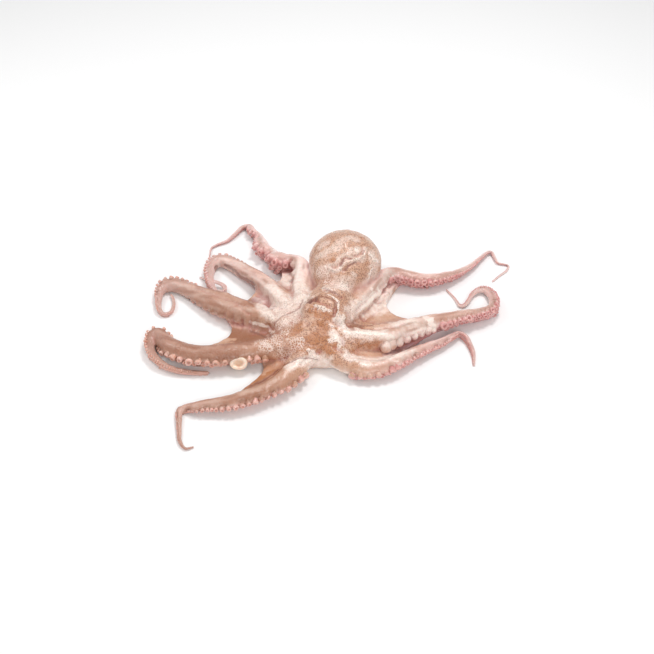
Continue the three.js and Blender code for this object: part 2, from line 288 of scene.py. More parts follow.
# %% Webs
WEBS = [
    # arm, distance along it, next arm, distance along that, where the free edge draws in
    ("front_left", 165, "left", 120, (-69, -34, 4)),
    ("left", 185, "back_left_low", 195, (-113, 28, 6)),
    ("back_left_low", 150, "back_left_high", 150, (-92, 87, 13)),
    ("back_left_high", 140, "back_left", 165, (-56, 117, 18)),
    ("back_left", 140, "back_right", 140, (16, 112, 32)),
    ("back_right", 165, "right", 165, (95, 62, 13)),
    ("right", 165, "front_right", 150, (112, -10, 6)),
    ("front_right", 80, "front_left", 80, (11, -30, 6)),
]
WEB_STARTS = 0.15  # share of the way out where the skirt begins
WEB_PEAK, WEB_THICKNESS = 34, 4  # height over the mouth, and thickness at the free edge
WEB_OVERLAP = 0.35  # how far it reaches into the arm, in half widths
WEB_GRID = 36


def grid_block(top, bottom):
    rows, columns = top.shape[:2]
    points = np.vstack([top.reshape(-1, 3), bottom.reshape(-1, 3)])
    under = rows * columns
    faces = []
    for i in range(rows - 1):
        for j in range(columns - 1):
            a, b = i * columns + j, i * columns + j + 1
            c, d = b + columns, a + columns
            faces += [(a, b, c, d), (d + under, c + under, b + under, a + under)]
    rim = ([(i, 0) for i in range(rows)] + [(rows - 1, j) for j in range(1, columns)]
           + [(i, columns - 1) for i in range(rows - 2, -1, -1)]
           + [(0, j) for j in range(columns - 2, 0, -1)])
    rim = [i * columns + j for i, j in rim]
    for a, b in zip(rim, rim[1:] + rim[:1]):
        faces.append((a, b, b + under, a + under))
    return points, faces


for first, along_first, second, along_second, notch in WEBS:
    out = np.linspace(WEB_STARTS, 1, WEB_GRID)
    ends = []
    for name, along, way in ((first, along_first, 1), (second, along_second, -1)):
        here = station_at(arms[name], along * out)
        ends.append(here["core"] + way * WEB_OVERLAP * here["half"][:, None] * here["side"])
    a, b = ends[0][None], ends[1][None]
    pull = 2 * out[None, :, None] * np.array(notch) - 0.5 * (a + b)
    t = np.linspace(0, 1, WEB_GRID)[:, None, None]
    top = (1 - t) ** 2 * a + 2 * t * (1 - t) * pull + t ** 2 * b
    low = top[:, -1:, 2:] + WEB_THICKNESS / 2
    top[..., 2:] = WEB_PEAK + (low - WEB_PEAK) * np.sqrt(out)[None, :, None]
    forms.append(grid_block(top, top * (1, 1, 0)))
print(len(WEBS), "webs")

# %% [markdown]
# The mantle, the head and the crown are stretched balls, turned the way the animal points.
# The mantle narrows towards the neck. Two smaller balls lift the eyes.

# %% Mantle, head and crown
HEADING = np.array((0.31, 0.95, 0)) / math.hypot(0.31, 0.95)
ACROSS = np.array((HEADING[1], -HEADING[0], 0))


def ball(at, width, length, height, neck=0.0, sides=48, rings=32):
    phi = np.linspace(0, np.pi, rings + 1)[1:-1, None]
    theta = np.linspace(0, 2 * np.pi, sides, endpoint=False)[None]
    y = np.cos(phi) * np.ones_like(theta)
    girth = 1 + neck * np.sin(y * np.pi / 2) * np.where(y < 0, 1, 0.35)
    x, z = np.sin(phi) * np.cos(theta) * girth, np.sin(phi) * np.sin(theta) * girth
    centre = np.array(at, float)

    def place(x, y, z):
        return (centre + width * x[..., None] * ACROSS + length * y[..., None] * HEADING
                + height * z[..., None] * np.array((0, 0, 1)))

    points = np.vstack([place(x, y, z).reshape(-1, 3),
                        place(*(np.array([v]) for v in (0.0, 1.0, 0.0))),
                        place(*(np.array([v]) for v in (0.0, -1.0, 0.0)))])
    outwards = [face[:1] + face[:0:-1] for face in tube_faces(rings - 1, sides)]
    return points, outwards


MANTLE_AT, MANTLE_HALF = np.array((34, 122, 41)), (49, 57, 41)  # half width, length, height
HEAD_AT, HEAD_HALF = (14, 48, 28), (33, 56, 28)
CROWN_AT, CROWN_HALF = (-2, 7, 10), (64, 43, 30)
EYES_AT, EYE_HALF, EYE_APART = np.array((8, 20, 44)), (10, 10, 10), 21
forms.append(ball(MANTLE_AT, *MANTLE_HALF, neck=0.22))
forms.append(ball(HEAD_AT, *HEAD_HALF))
forms.append(ball(CROWN_AT, *CROWN_HALF))
for hand in (-1, 1):
    forms.append(ball(EYES_AT + hand * EYE_APART * ACROSS, *EYE_HALF, sides=24, rings=16))
print(len(forms), "closed forms")

# %% [markdown]
# ## Fusing the forms
# A voxel remesh wraps one even skin of small squares round everything that overlaps, which is
# how a sculptor merges clay. What reaches below the table is first pressed flat against it.

# %% One skin
VOXEL = 1.5  # side of one square of the fused skin
clay = ([], [])
for form_points, form_faces in forms:
    gather(clay, form_points, form_faces)
blank = new_piece("blank", above_table(np.vstack(clay[0]), 0), clay[1])
wrap = blank.modifiers.new("wrap", "REMESH")
wrap.mode = "VOXEL"
wrap.voxel_size = VOXEL * MM
wrap.use_smooth_shade = True
fused = bpy.data.meshes.new_from_object(blank.evaluated_get(bpy.context.evaluated_depsgraph_get()))
bpy.data.objects.remove(blank)
fused.name = "octopus_skin"
octopus_skin = bpy.data.objects.new("octopus_skin", fused)
bpy.context.scene.collection.objects.link(octopus_skin)
print(len(fused.vertices), "points,", len(fused.polygons), "squares")

# %% [markdown]
# The fused skin has small steps, and creases where the forms met. Moving every point towards
# the middle of its neighbours irons these out, and a step back each time keeps the arms from
# getting thinner. Near the crown the skin of a real octopus runs smoothly from web to arm, so
# it is ironed many more times there.

# %% Ironing
def read_points(mesh):
    flat = np.empty(len(mesh.vertices) * 3)
    mesh.vertices.foreach_get("co", flat)
    return flat.reshape(-1, 3) / MM


def write_points(mesh, points):
    mesh.vertices.foreach_set("co", (points * MM).ravel())
    mesh.update()


def read_normals(mesh):
    flat = np.empty(len(mesh.vertices) * 3)
    mesh.vertex_normals.foreach_get("vector", flat)
    return flat.reshape(-1, 3)


edges = np.empty(len(fused.edges) * 2, int)
fused.edges.foreach_get("vertices", edges)
edges = edges.reshape(-1, 2)
ends_a, ends_b = np.concatenate([edges, edges[:, ::-1]]).T
neighbours = np.bincount(ends_a, minlength=len(fused.vertices))


def middle_of_neighbours(values):
    if values.ndim == 1:
        return np.bincount(ends_a, values[ends_b], len(values)) / neighbours
    return np.stack([middle_of_neighbours(values[:, i]) for i in range(values.shape[1])], axis=1)


def iron(points, times, amount, back=0.0):
    for _ in range(times):
        points = points + amount * (middle_of_neighbours(points) - points)
        if back:
            points = points - back * (middle_of_neighbours(points) - points)
    return points


def ramp(value, low, high):
    t = np.clip((value - low) / (high - low), 0, 1)
    return t * t * (3 - 2 * t)


MELT_AT, MELT_INSIDE, MELT_OUTSIDE = (0, 12, 20), 70, 125  # middle of the crown, and reach
skin = read_points(fused)
skin = iron(skin, times=8, amount=0.55, back=0.5)
from_crown = np.linalg.norm((skin - MELT_AT) * (1, 0.9, 1), axis=1)
melt = (1 - ramp(from_crown, MELT_INSIDE, MELT_OUTSIDE))[:, None]
skin = above_table(iron(skin, times=28, amount=0.5 * melt))
write_points(fused, skin)
print("ironed, highest point", round(skin[:, 2].max(), 1), "mm")

# %% [markdown]
# ## Where on the animal each point lies
# To model and paint the skin, every point needs to know which arm it belongs to, how far
# along, and where round the arm: how far to its side and how far towards its back. The
# nearest sample of any arm's core, measured in half widths, answers all of these at once.

# %% Arm coordinates
EVERY = 3  # every third sample of a run is near enough
AT_ONCE = 4000  # points measured together, to save memory


def join_arms(name):
    return np.concatenate([arm[name][::EVERY] for arm in arms.values()])


core_of, half_of, side_of, up_of, along_of = (
    join_arms(name) for name in ("core", "half", "side", "up", "along"))
owner_of = np.concatenate([np.full(len(arm["along"][::EVERY]), i)
                           for i, arm in enumerate(arms.values())])


def arm_place(points):
    nearest = np.empty(len(points), int)
    for start in range(0, len(points), AT_ONCE):
        part = points[start:start + AT_ONCE]
        gap = ((part[:, None] - core_of[None]) ** 2).sum(axis=2) / (half_of[None] + 2) ** 2
        nearest[start:start + AT_ONCE] = gap.argmin(axis=1)
    offset = points - core_of[nearest]
    half = half_of[nearest]
    return {
        "arm": owner_of[nearest],
        "along": along_of[nearest],
        "half": half,
        "sideways": (offset * side_of[nearest]).sum(axis=1) / half,
        "backwards": (offset * up_of[nearest]).sum(axis=1) / half,
        "distance": np.linalg.norm(offset, axis=1) / half,
    }


place = arm_place(skin)
ARM_NAMES = list(arms)
ARM_LENGTHS = np.array([arm["along"][-1] for arm in arms.values()])
print({name: int((place["arm"] == i).sum()) for i, name in enumerate(ARM_NAMES)})

# %% [markdown]
# Soft unevenness comes from a cloud of values that changes smoothly through space. It is
# worked out from a hash of whole-number grid points, so it is the same on every run.

# %% Clouds
def cloud(points, size, seed=0):
    spot = np.asarray(points) / size + 1000.0 + 17.3 * seed
    cell = np.floor(spot).astype(np.int64)
    share = spot - cell
    share = share * share * (3 - 2 * share)
    total = np.zeros(len(spot))
    for dx in (0, 1):
        for dy in (0, 1):
            for dz in (0, 1):
                mixed = ((cell[:, 0] + dx) * 73856093 ^ (cell[:, 1] + dy) * 19349663
                         ^ (cell[:, 2] + dz) * 83492791 ^ seed * 2654435761)
                mixed = (mixed ^ (mixed >> 13)) * 1274126177 & 0x7FFFFFFF
                value = (mixed % 10007) / 5003.0 - 1
                weight = (np.where(dx, share[:, 0], 1 - share[:, 0])
                          * np.where(dy, share[:, 1], 1 - share[:, 1])
                          * np.where(dz, share[:, 2], 1 - share[:, 2]))
                total += value * weight
    return total


print("a value of the cloud:", cloud(np.array([[1.0, 2.0, 3.0]]), 10, 1).round(3))

# %% [markdown]
# ## Folds, lids and ridges
# The skin is loose and wet, and falls in folds. They could be sculpted by hand, but strokes
# give the same folds on every run. A stroke is a line on the skin with a width and a height:
# above zero it raises a ridge, below zero it presses a groove. Its points are first laid on
# the nearest skin. The distance from a point of the skin to the line then sets how much of
# the stroke that point gets.

# %% Strokes
def stroke_weight(points, line, width):
    line = np.array(line, float)
    if len(line) == 1:
        line = np.vstack([line, line + 0.01])
    reach = 3.2 * width
    near = ((points > line.min(axis=0) - reach) & (points < line.max(axis=0) + reach)).all(axis=1)
    close = points[near]
    best = np.full(len(close), 1e9)
    for a, b in zip(line[:-1], line[1:]):
        ab = b - a
        t = np.clip(((close - a) @ ab) / (ab @ ab), 0, 1)
        best = np.minimum(best, ((close - a - t[:, None] * ab) ** 2).sum(axis=1))
    weight = np.zeros(len(points))
    weight[near] = np.exp(-best / width ** 2)
    return weight


def skin_finder(points):
    finder = KDTree(len(points))
    for i, point in enumerate(points):
        finder.insert(point, i)
    finder.balance()
    return finder


def laid_on_skin(line, finder, step=2.5):
    # cut the line into short steps and let each step fall on the nearest point of the skin
    line = np.array(line, float)
    marks = [line[0]]
    for a, b in zip(line[:-1], line[1:]):
        count = max(1, round(np.linalg.norm(b - a) / step))
        marks += [a + (b - a) * k / count for k in range(1, count + 1)]
    laid = [np.array(finder.find(mark)[0]) for mark in marks]
    return [laid[0]] + [b for a, b in zip(laid[:-1], laid[1:]) if np.linalg.norm(b - a) > 0.01]


print("strokes are ready")

# %% [markdown]
# The mantle is crossed by a wavy fold, the shut eyes are small hollows with a lid, and each
# arm has a ridge or two where it leaves the crown. A few lines are named, because the
# colours follow them too.

# %% Folds
WAVY_FOLD = [(15, 88, 64), (21, 84, 64), (26, 84, 65), (32, 88, 67), (36, 93, 70), (40, 95, 70),
             (49, 98, 71), (55, 102, 70), (60, 106, 70), (62, 111, 72), (63, 118, 74)]
UPPER_FOLD = [(16, 92, 67), (25, 92, 69), (29, 100, 73), (34, 103, 75), (41, 104, 75)]
HEAD_LINE = [(-19, 52, 41), (-24, 39, 39), (-36, 34, 34), (-56, 22, 27)]
FRONT_LINE = [(-83, -75, 10), (-69, -68, 11), (-50, -49, 12), (-35, -51, 25), (-24, -46, 29),
              (-1, -36, 19)]
FOLDS = [
    # line, width, height
    (WAVY_FOLD, 1.9, 2.2),                                           # the mantle's wavy fold
    (UPPER_FOLD, 1.7, 1.3),
    ([(30, 89, 68), (32, 95, 71), (35, 99, 73), (44, 99, 72)], 1.8, -1.5),
    ([(34, 84, 64), (40, 90, 68), (47, 94, 69), (54, 96, 66)], 3.0, -1.2),
    ([(47, 103, 74), (54, 105, 73), (59, 110, 73), (58, 118, 76)], 1.8, -1.0),
    ([(51, 111, 76)], 5.0, 1.6),
    ([(42, 119, 80), (49, 127, 80), (58, 135, 76)], 4.0, -1.4),
    ([(65, 120, 73), (68, 112, 69), (74, 110, 61), (78, 113, 57)], 2.2, 1.4),
    ([(71, 101, 56), (69, 96, 52), (67, 92, 45)], 2.2, 1.4),
    ([(8, 56, 54), (20, 49, 55), (31, 44, 51)], 1.8, -1.0),          # crease of the mantle's edge
    ([(10, 62, 55), (22, 56, 57), (34, 52, 52)], 4.0, 2.2),
    ([(-6, 42, 50), (-11, 39, 47), (-12, 33, 48)], 2.8, -4.0),       # left eye, shut
    ([(-14, 36, 44), (-13, 30, 46), (-8, 26, 49), (-3, 29, 51)], 2.2, 1.8),
    ([(-10, 20, 50)], 2.6, 1.6),
    ([(-5, 34, 51), (3, 25, 52), (12, 20, 52), (17, 17, 49)], 3.0, 2.4),
    ([(-2, 38, 51), (7, 30, 53), (16, 25, 52)], 2.4, -1.8),
    ([(22, 24, 50), (21, 11, 50)], 2.6, -2.2),                       # between the eyes
    ([(32, 10, 50), (30, 4, 45), (35, 0, 39)], 3.4, 2.2),
    ([(38, 16, 42), (40, 6, 38), (46, 0, 36)], 3.0, -2.0),
    ([(23, -18, 35), (28, -23, 31)], 4.0, 1.6),
    ([(35, -30, 25), (30, -26, 30), (26, -21, 33)], 3.6, 2.4),
    ([(30, -33, 24), (22, -27, 30)], 2.4, -1.6),
    ([(-6, -33, 28), (-2, -38, 23)], 4.0, 1.6),
    ([(-45, -4, 31), (-27, -1, 36), (-15, 11, 39)], 4.5, 1.4),
    ([(-84, 18, 14), (-66, 17, 22), (-48, 11, 31), (-34, 14, 35)], 5.0, -1.4),
    ([(35, -8, 37), (54, -7, 35), (73, -8, 32), (92, -5, 28), (112, 4, 25), (132, 15, 22)],
     5.0, 1.8),                                                      # ridge along the right arm
    ([(41, 9, 36), (57, 6, 35), (75, 3, 34), (95, 8, 32), (112, 18, 30)], 3.0, -2.0),
    ([(50, 24, 32), (62, 18, 32), (78, 15, 32), (92, 18, 30)], 3.4, 1.8),
    ([(55, 41, 22), (71, 34, 22), (86, 24, 28)], 3.0, -1.8),
    ([(44, 42, 34), (56, 64, 33), (70, 86, 30), (84, 106, 27)], 3.2, 1.5),
    ([(50, 40, 34), (63, 59, 32), (74, 76, 30), (83, 91, 28)], 3.0, -1.4),
    ([(56, 40, 31), (70, 58, 29), (82, 76, 25), (92, 94, 19)], 3.2, 1.6),
    ([(62, 38, 26), (76, 54, 24), (88, 70, 18)], 2.8, -1.2),
    ([(72, 71, 24), (84, 78, 16), (90, 90, 12)], 3.4, -2.2),
    ([(80, 81, 20), (90, 92, 14), (94, 104, 12)], 3.4, 2.0),
    ([(-69, 75, 18), (-63, 49, 29), (-55, 34, 31)], 4.0, -2.4),
    ([(-129, 159, 13), (-107, 140, 20), (-85, 113, 24), (-66, 86, 30), (-50, 61, 33)], 3.5, 1.6),
    ([(-139, 158, 10), (-115, 132, 13), (-93, 106, 17), (-72, 80, 22)], 2.6, -1.8),
    ([(-173, 108, 19), (-152, 95, 22), (-123, 78, 23), (-96, 58, 23), (-73, 40, 26)], 3.4, 1.6),
    ([(-166, 102, 18), (-140, 80, 20), (-112, 62, 20), (-88, 44, 22)], 2.4, -1.6),
    ([(-92, 38, 12), (-73, 25, 16), (-54, -2, 30), (-41, -14, 31)], 3.6, 1.6),
    ([(-67, -12, 29), (-54, -21, 29), (-41, -26, 27)], 2.6, 1.2),
    ([(-62, -24, 26), (-58, -32, 18), (-50, -36, 14)], 3.0, 2.0),
    ([(-34, -58, 24), (-46, -72, 22), (-62, -84, 20)], 3.0, 1.0),
    ([(-22, -52, 23), (-10, -38, 26), (4, -32, 28)], 3.0, -1.8),
    ([(40, -40, 22), (58, -38, 20), (76, -38, 18), (96, -30, 17)], 3.0, -1.4),
    (HEAD_LINE, 1.8, -0.9),
    (FRONT_LINE, 1.8, -0.9),
    ([(-7, 47, 49), (4, 43, 54), (16, 38, 55), (23, 34, 53), (24, 24, 50), (22, 9, 50)], 1.8, -0.7),
    ([(13, 44, 55), (27, 36, 52), (26, 14, 53), (21, 8, 49)], 2.2, 1.0),
    ([(-21, 119, 40), (-19, 90, 41), (-23, 60, 41)], 3.6, 1.0),
    ([(-33, 110, 30), (-32, 84, 30), (-34, 58, 32)], 3.6, -1.6),
]

normals = read_normals(fused)
lift = np.zeros(len(skin))
finder = skin_finder(skin)
for line, width, height in FOLDS:
    lift += height * stroke_weight(skin, laid_on_skin(line, finder), width)
skin += lift[:, None] * normals
print(len(FOLDS), "strokes, from", lift.min().round(1), "to", lift.max().round(1), "mm")
write_points(fused, skin)

# %% [markdown]
# Along each arm the skin between the two rows of suckers and the back is drawn into lobes,
# one to each sucker, and some arms have a loose wavy fringe there. Both are waves that run
# along the arm and fade towards its back. The whole skin also gets a little slack.

# %% Lobes and slack
SUCKER_SPACING = 0.62  # from one sucker to the next, in half widths
FRINGE = {
    # arm: depth and length of the wave
    "front_left": (2.2, 21), "front_right": (2.0, 19), "back_left": (3.4, 24),
    "back_left_low": (1.5, 13), "right": (0.8, 22), "left": (0.6, 26), "back_right": (0.8, 20),
}
MANTLE_REACH = (56, 62, 48)  # half width, length and height of what counts as the mantle

beat_of = []
for arm in arms.values():
    pitch = arm["half"] * SUCKER_SPACING
    steps = np.diff(arm["along"]) / (0.5 * (pitch[1:] + pitch[:-1]))
    beat_of.append(np.concatenate([[0], np.cumsum(steps)]))


def arm_beat(place):
    result = np.zeros(len(place["arm"]))
    for i, name in enumerate(ARM_NAMES):
        mine = place["arm"] == i
        result[mine] = np.interp(place["along"][mine], arms[name]["along"], beat_of[i])
    return result


def mantle_share(points):
    distance = np.linalg.norm((points - MANTLE_AT) / MANTLE_REACH, axis=1)
    return ramp(-distance, -1.12, -0.95)


normals = read_normals(fused)
edge_zone = (np.exp(-((place["backwards"] + 0.18) / 0.32) ** 2)
             * ramp(np.abs(place["sideways"]), 0.55, 0.95))
open_arm = ramp(place["along"], 55, 95) * ramp(2.0 - place["distance"], 0, 0.6)
phase = arm_beat(place) + np.where(place["sideways"] > 0, 0.5, 0.0)
lobes = (0.5 - 0.5 * np.cos(2 * np.pi * phase)) ** 0.7 - 0.45
lift = 0.07 * place["half"] * lobes * edge_zone * open_arm
for i, name in enumerate(ARM_NAMES):
    if name in FRINGE:
        depth, length = FRINGE[name]
        mine = (place["arm"] == i) * edge_zone * open_arm
        wave = np.sin(2 * np.pi * place["along"] / length + 1.7 * i
                      + 1.3 * cloud(skin, 30, 40 + i))
        lift += depth * wave * mine
slack = 0.9 * cloud(skin, 22, 1) + 0.55 * cloud(skin, 9, 2) + 0.25 * cloud(skin, 4.5, 3)
lift += slack * (1 - 0.25 * mantle_share(skin)) * ramp(place["half"], 3, 10)
skin += lift[:, None] * normals
skin = above_table(iron(skin, times=2, amount=0.4, back=0.3))
write_points(fused, skin)
print("skin now spans", skin.min(axis=0).round(1), skin.max(axis=0).round(1))

# %% [markdown]
# ## Thin ends
# The last part of each arm is a whip only two or three millimetres thick. It is a fine loft
# of its own, which starts a little way inside the fused arm.

# %% Tips
TIP_OVERLAP = 9  # how far a tip reaches back into the fused arm
tip_heap = ([], [])
for arm in arms.values():
    gather(tip_heap, *loft(arm, arm["fused_to"] - TIP_OVERLAP, arm["along"][-1] - 0.5,
                           spacing=1.1, sides=16, thin=0.97))
tips = above_table(np.vstack(tip_heap[0]))
tips += 0.25 * cloud(tips, 5, 9)[:, None] * (0, 0, 1)
arm_tips = smooth_piece("arm_tips", tips, tip_heap[1])
print(len(tip_heap[1]), "faces in the tips")

# %% [markdown]
# ## Suckers
# Each arm carries two rows of suckers, large near the crown and tiny at the tip. A sucker is
# a thick soft rim round a cup, and it sits on the end of a fleshy stalk. One profile is
# turned into a cup, and the copies vary a little in size, tilt and depth. Each cup keeps two
# masks for its material: where its rim is, and where its hollow is.

# %% Sucker cup
CUP = [
    # radius and height of each ring, in sucker radii
    (0.72, -1.3), (0.84, -0.5), (1.0, 0.0), (1.02, 0.3), (0.88, 0.58), (0.62, 0.66),
    (0.38, 0.52), (0.24, 0.26), (0.12, 0.14),
]
RIM_MASK = [0.0, 0.1, 0.5, 0.9, 1.0, 0.8, 0.2, 0.0, 0.0]
WELL_MASK = [0.0, 0.0, 0.0, 0.0, 0.0, 0.05, 0.5, 0.9, 1.0]


def cup_mesh(at, facing, radius, sides, squeeze, turn, profile=CUP):
    facing = facing / np.linalg.norm(facing)
    helper = np.array((0.0, 0.0, 1.0)) if abs(facing[2]) < 0.9 else np.array((1.0, 0.0, 0.0))
    u = np.cross(facing, helper)
    u /= np.linalg.norm(u)
    v = np.cross(facing, u)
    angle = np.linspace(0, 2 * np.pi, sides, endpoint=False)
    wobble = 1 + 0.06 * np.sin(2 * angle + turn) + 0.04 * np.sin(3 * angle + 2 * turn)
    rings = []
    for r, h in profile:
        x = r * radius * np.cos(angle) * wobble * squeeze
        y = r * radius * np.sin(angle) * wobble / squeeze
        rings.append(at + x[:, None] * u + y[:, None] * v + h * radius * facing)
    points = np.vstack(rings + [at + profile[-1][1] * radius * facing])
    marks = np.stack([np.append(np.repeat(RIM_MASK, sides), 0.0),
                      np.append(np.repeat(WELL_MASK, sides), 1.0)])
    return points, tube_faces(len(profile), sides, open_start=True), marks


def keep_masks(mesh, masks):
    for name, values in masks.items():
        layer = mesh.attributes.get(name) or mesh.attributes.new(name, "FLOAT", "POINT")
        layer.data.foreach_set("value", np.clip(values, 0, 1).astype(np.float32))


print(len(CUP), "rings in a cup")

# %% [markdown]
# The stalk starts high on the arm's side, thin and inside the skin, and swells as it comes
# down to the cup. Rows of stalks give an arm its ribbed flank. A stalk is a short loft bent
# round the arm's own section, so it always hugs the skin whatever the arm's size and roll.

# %% Stalk
ROW_ANGLE = -50  # where the cups sit, in degrees: below zero is below the arm's side
ROW_STANDS = (0.06, 0.2)  # how far they stand out near the crown and at the tip, in half widths


def on_section(here, row, angle, scale):
    out, lift = section(angle)
    return (here["core"] + scale * here["half"]
            * (row * out * here["side"] + lift * here["up"]))


def stalk_mesh(here, row, thick, top, low, sides):
    t = np.append(np.linspace(0, 1, 6), 1.1)
    angle = np.radians(top + (low - top) * t)
    size = thick * np.array((0.25, 0.52, 0.72, 0.88, 0.98, 1.0, 0.55))
    around = np.linspace(0, 2 * np.pi, sides, endpoint=False)
    rings = []
    for a, r in zip(angle, size):
        centre = on_section(here, row, a, 0.9)
        outward = centre - here["core"]
        outward = outward / np.linalg.norm(outward)
        rings.append(centre + r * (0.94 * np.cos(around)[:, None] * here["run"]
                                   + 1.06 * np.sin(around)[:, None] * outward))
    faces = tube_faces(len(size), sides)
    return with_middles(rings), faces if row < 0 else [face[::-1] for face in faces]


print("most cups sit at", ROW_ANGLE, "degrees")

# %% [markdown]
# Now both rows are set along every arm, one sucker to each lobe of the skin. Size, tilt and
# place vary by chance, drawn from a fixed seed for each arm. Where an arm is rolled far over,
# the second row peeps out below the first, and small warts sit above some of the stalks.

# %% Rows of suckers
SUCKER_RADIUS = 0.28  # in half widths of the arm
SMALLEST = 0.26  # no sucker below this radius
LARGE = 1.6  # suckers above this radius get more sides
OPEN_CLEAR = 13  # room kept round the open sucker
BUD = [
    # a small wart above a stalk: radius and height of each ring
    (0.8, -0.9), (1.0, -0.1), (0.92, 0.35), (0.6, 0.7), (0.25, 0.85), (0.1, 0.86),
    (0.06, 0.87), (0.04, 0.87), (0.02, 0.87),
]
# how far along each arm its first sucker sits
FIRST_SUCKER = {"back_right": 132, "back_left": 150, "right": 74, "left": 58, "front_left": 50,
                "front_right": 52, "back_left_high": 130, "back_left_low": 130}
FRONT_FIRST = {"right": 156, "back_left_high": 190, "back_left_low": 190}  # on the near row
OPEN_SUCKER_AT = np.array((-99, -39.5, 14))
# the arms whose cups sit at another angle than ROW_ANGLE
LOW = {"left": -36, "back_left_low": -42, "right": -38, "back_right": -38, "front_right": -42,
       "front_left": -44}
DOUBLE = ("right", "back_right", "front_right", "left", "back_left")  # far row peeps out
PLUMP = {"right": 1.2, "back_right": 1.15, "front_left": 0.95, "front_right": 1.1}  # size
SPLAY = {"right": 0.5, "front_right": 0.2, "front_left": 0.25}  # how far they face outwards
SPLAY_FAR = 0.72  # the same for the outer part of every arm
# where the stalks start, in degrees above the arm's side; 8 on an arm not named here
STALK_TOP = {"left": -12, "back_left_low": 0, "right": 14, "front_right": -4, "front_left": -14,
             "back_right": 6, "back_left": 5}
sucker_pieces = []
stalks = ([], [])
for i, (name, arm) in enumerate(arms.items()):
    chance = np.random.default_rng(100 + i)
    cups, marks = ([], []), []
    for row in (-1, 1):
        first = FIRST_SUCKER[name]
        if row * station_at(arm, np.array(float(first)))["side"][1] < 0:
            first = FRONT_FIRST.get(name, first)
        first_beat = np.interp(first, arm["along"], beat_of[i]) + (0.5 if row > 0 else 0)
        for n in np.arange(first_beat, beat_of[i][-1], 1.0):
            along = np.interp(n, beat_of[i], arm["along"])
            here = station_at(arm, np.array(along))
            radius = (here["half"] * SUCKER_RADIUS * PLUMP.get(name, 1.0)
                      * chance.uniform(0.78, 1.18))
            if radius < SMALLEST:
                continue
            low = LOW.get(name, ROW_ANGLE) + chance.normal(0, 2.5)
            angle = np.radians(low)
            outer = ramp(along / arm["along"][-1], 0.3, 0.6)
            splay = SPLAY.get(name, SPLAY_FAR) * (1 - outer) + SPLAY_FAR * outer
            facing = (row * splay * here["side"] - 0.7 * here["up"] + chance.normal(0, 0.2, 3))
            stands = ROW_STANDS[0] * (1 - outer) + ROW_STANDS[1] * outer
            at = on_section(here, row, angle, 1 + stands)
            if at[2] < -0.25 * radius or np.linalg.norm(at - OPEN_SUCKER_AT) < OPEN_CLEAR:
                continue
            sides = 18 if radius > LARGE else 10
            made, made_faces, mark = cup_mesh(at, facing, radius, sides,
                                              chance.uniform(0.92, 1.08), chance.uniform(0, 6.3))
            gather(cups, made, made_faces)
            marks.append(mark)
            thick = 0.56 * here["half"] * SUCKER_SPACING * chance.uniform(0.86, 1.06)
            top = STALK_TOP.get(name, 8) + chance.normal(0, 5)
            gather(stalks, *stalk_mesh(here, row, thick, top, low, 12 if radius > LARGE else 8))
            if name in DOUBLE and here["half"] > 3:
                halfway = station_at(arm, np.array(np.interp(n + 0.5, beat_of[i], arm["along"])))
                lower = on_section(halfway, row, angle - np.radians(24), 1.03)
                if np.linalg.norm(lower - OPEN_SUCKER_AT) > OPEN_CLEAR and lower[2] > 0.5:
                    made, made_faces, mark = cup_mesh(
                        lower, facing + chance.normal(0, 0.1, 3), 0.85 * radius, sides, 1.0,
                        chance.uniform(0, 6.3))
                    gather(cups, made, made_faces)
                    marks.append(mark)
            if here["half"] > 7 and chance.random() < 0.5:
                bud = on_section(here, row, np.radians(top - 8 + chance.normal(0, 6)), 0.97)
                made, made_faces, _ = cup_mesh(bud, bud - here["core"], 0.09 * here["half"], 8,
                                               1.0, chance.uniform(0, 6.3), BUD)
                gather(stalks, made, made_faces)
    piece = smooth_piece(name + "_suckers", np.vstack(cups[0]), cups[1])
    keep_masks(piece.data, dict(zip(("rim", "well"), np.concatenate(marks, axis=1))))
    sucker_pieces.append(piece)
    print(f"{piece.name}: {len(cups[0])} cups, {len(cups[1])} faces")

# %% [markdown]
# Under the right arm the skin between the row and the crown hangs in a chain of large soft
# lobes. They could be folds of the skin, but they are rounder than a fold can be, so each is
# a short swelling of its own that rises into the arm and touches the next.

# %% Lobes under the right arm
RIGHT_LOBES = [
    # lower end, half thickness
    ((87, -15.5, 14), 8.8), ((94, -11, 15), 8.0), ((104.5, -5.5, 15.5), 6.6),
    ((114.5, 1.2, 15.5), 6.4), ((124.5, 7.6, 15.5), 6.2), ((134, 13, 15.5), 5.8),
    ((143, 18, 15), 5.4), ((150.5, 21.5, 14), 4.9),
]
LOBE_RISE = np.array((1, 15, 9))  # from a lobe's lower end up into the arm


def swelling(end, thick, sides=20):
    start = end + LOBE_RISE
    t = np.array((0, 0.2, 0.4, 0.6, 0.8, 0.93, 1.05, 1.15, 1.2))
    size = thick * np.array((0.5, 0.72, 0.86, 0.95, 1.0, 0.97, 0.82, 0.55, 0.3))
    run = (end - start) / np.linalg.norm(end - start)
    u = np.cross(run, (0.0, 0.0, 1.0))
    u /= np.linalg.norm(u)
    v = np.cross(run, u)
    around = np.linspace(0, 2 * np.pi, sides, endpoint=False)[:, None]
    rings = [start + (end - start) * share + r * (0.9 * np.cos(around) * u + np.sin(around) * v)
             for share, r in zip(t, size)]
    return with_middles(rings), tube_faces(len(size), sides)


for end, thick in RIGHT_LOBES:
    lobe, lobe_faces = swelling(np.array(end, float), thick)
    gather(stalks, lobe + 0.5 * cloud(lobe, 5, 13)[:, None], lobe_faces)
sucker_stalks = smooth_piece("sucker_stalks", np.vstack(stalks[0]), stalks[1])
print(len(stalks[0]), "stalks and lobes,", len(stalks[1]), "faces")

# %% [markdown]
# One sucker near the base of the left arm has turned right out and lies open, pale and much
# larger than the rest. It gets its own profile, with a thicker rim and a shallow bowl.

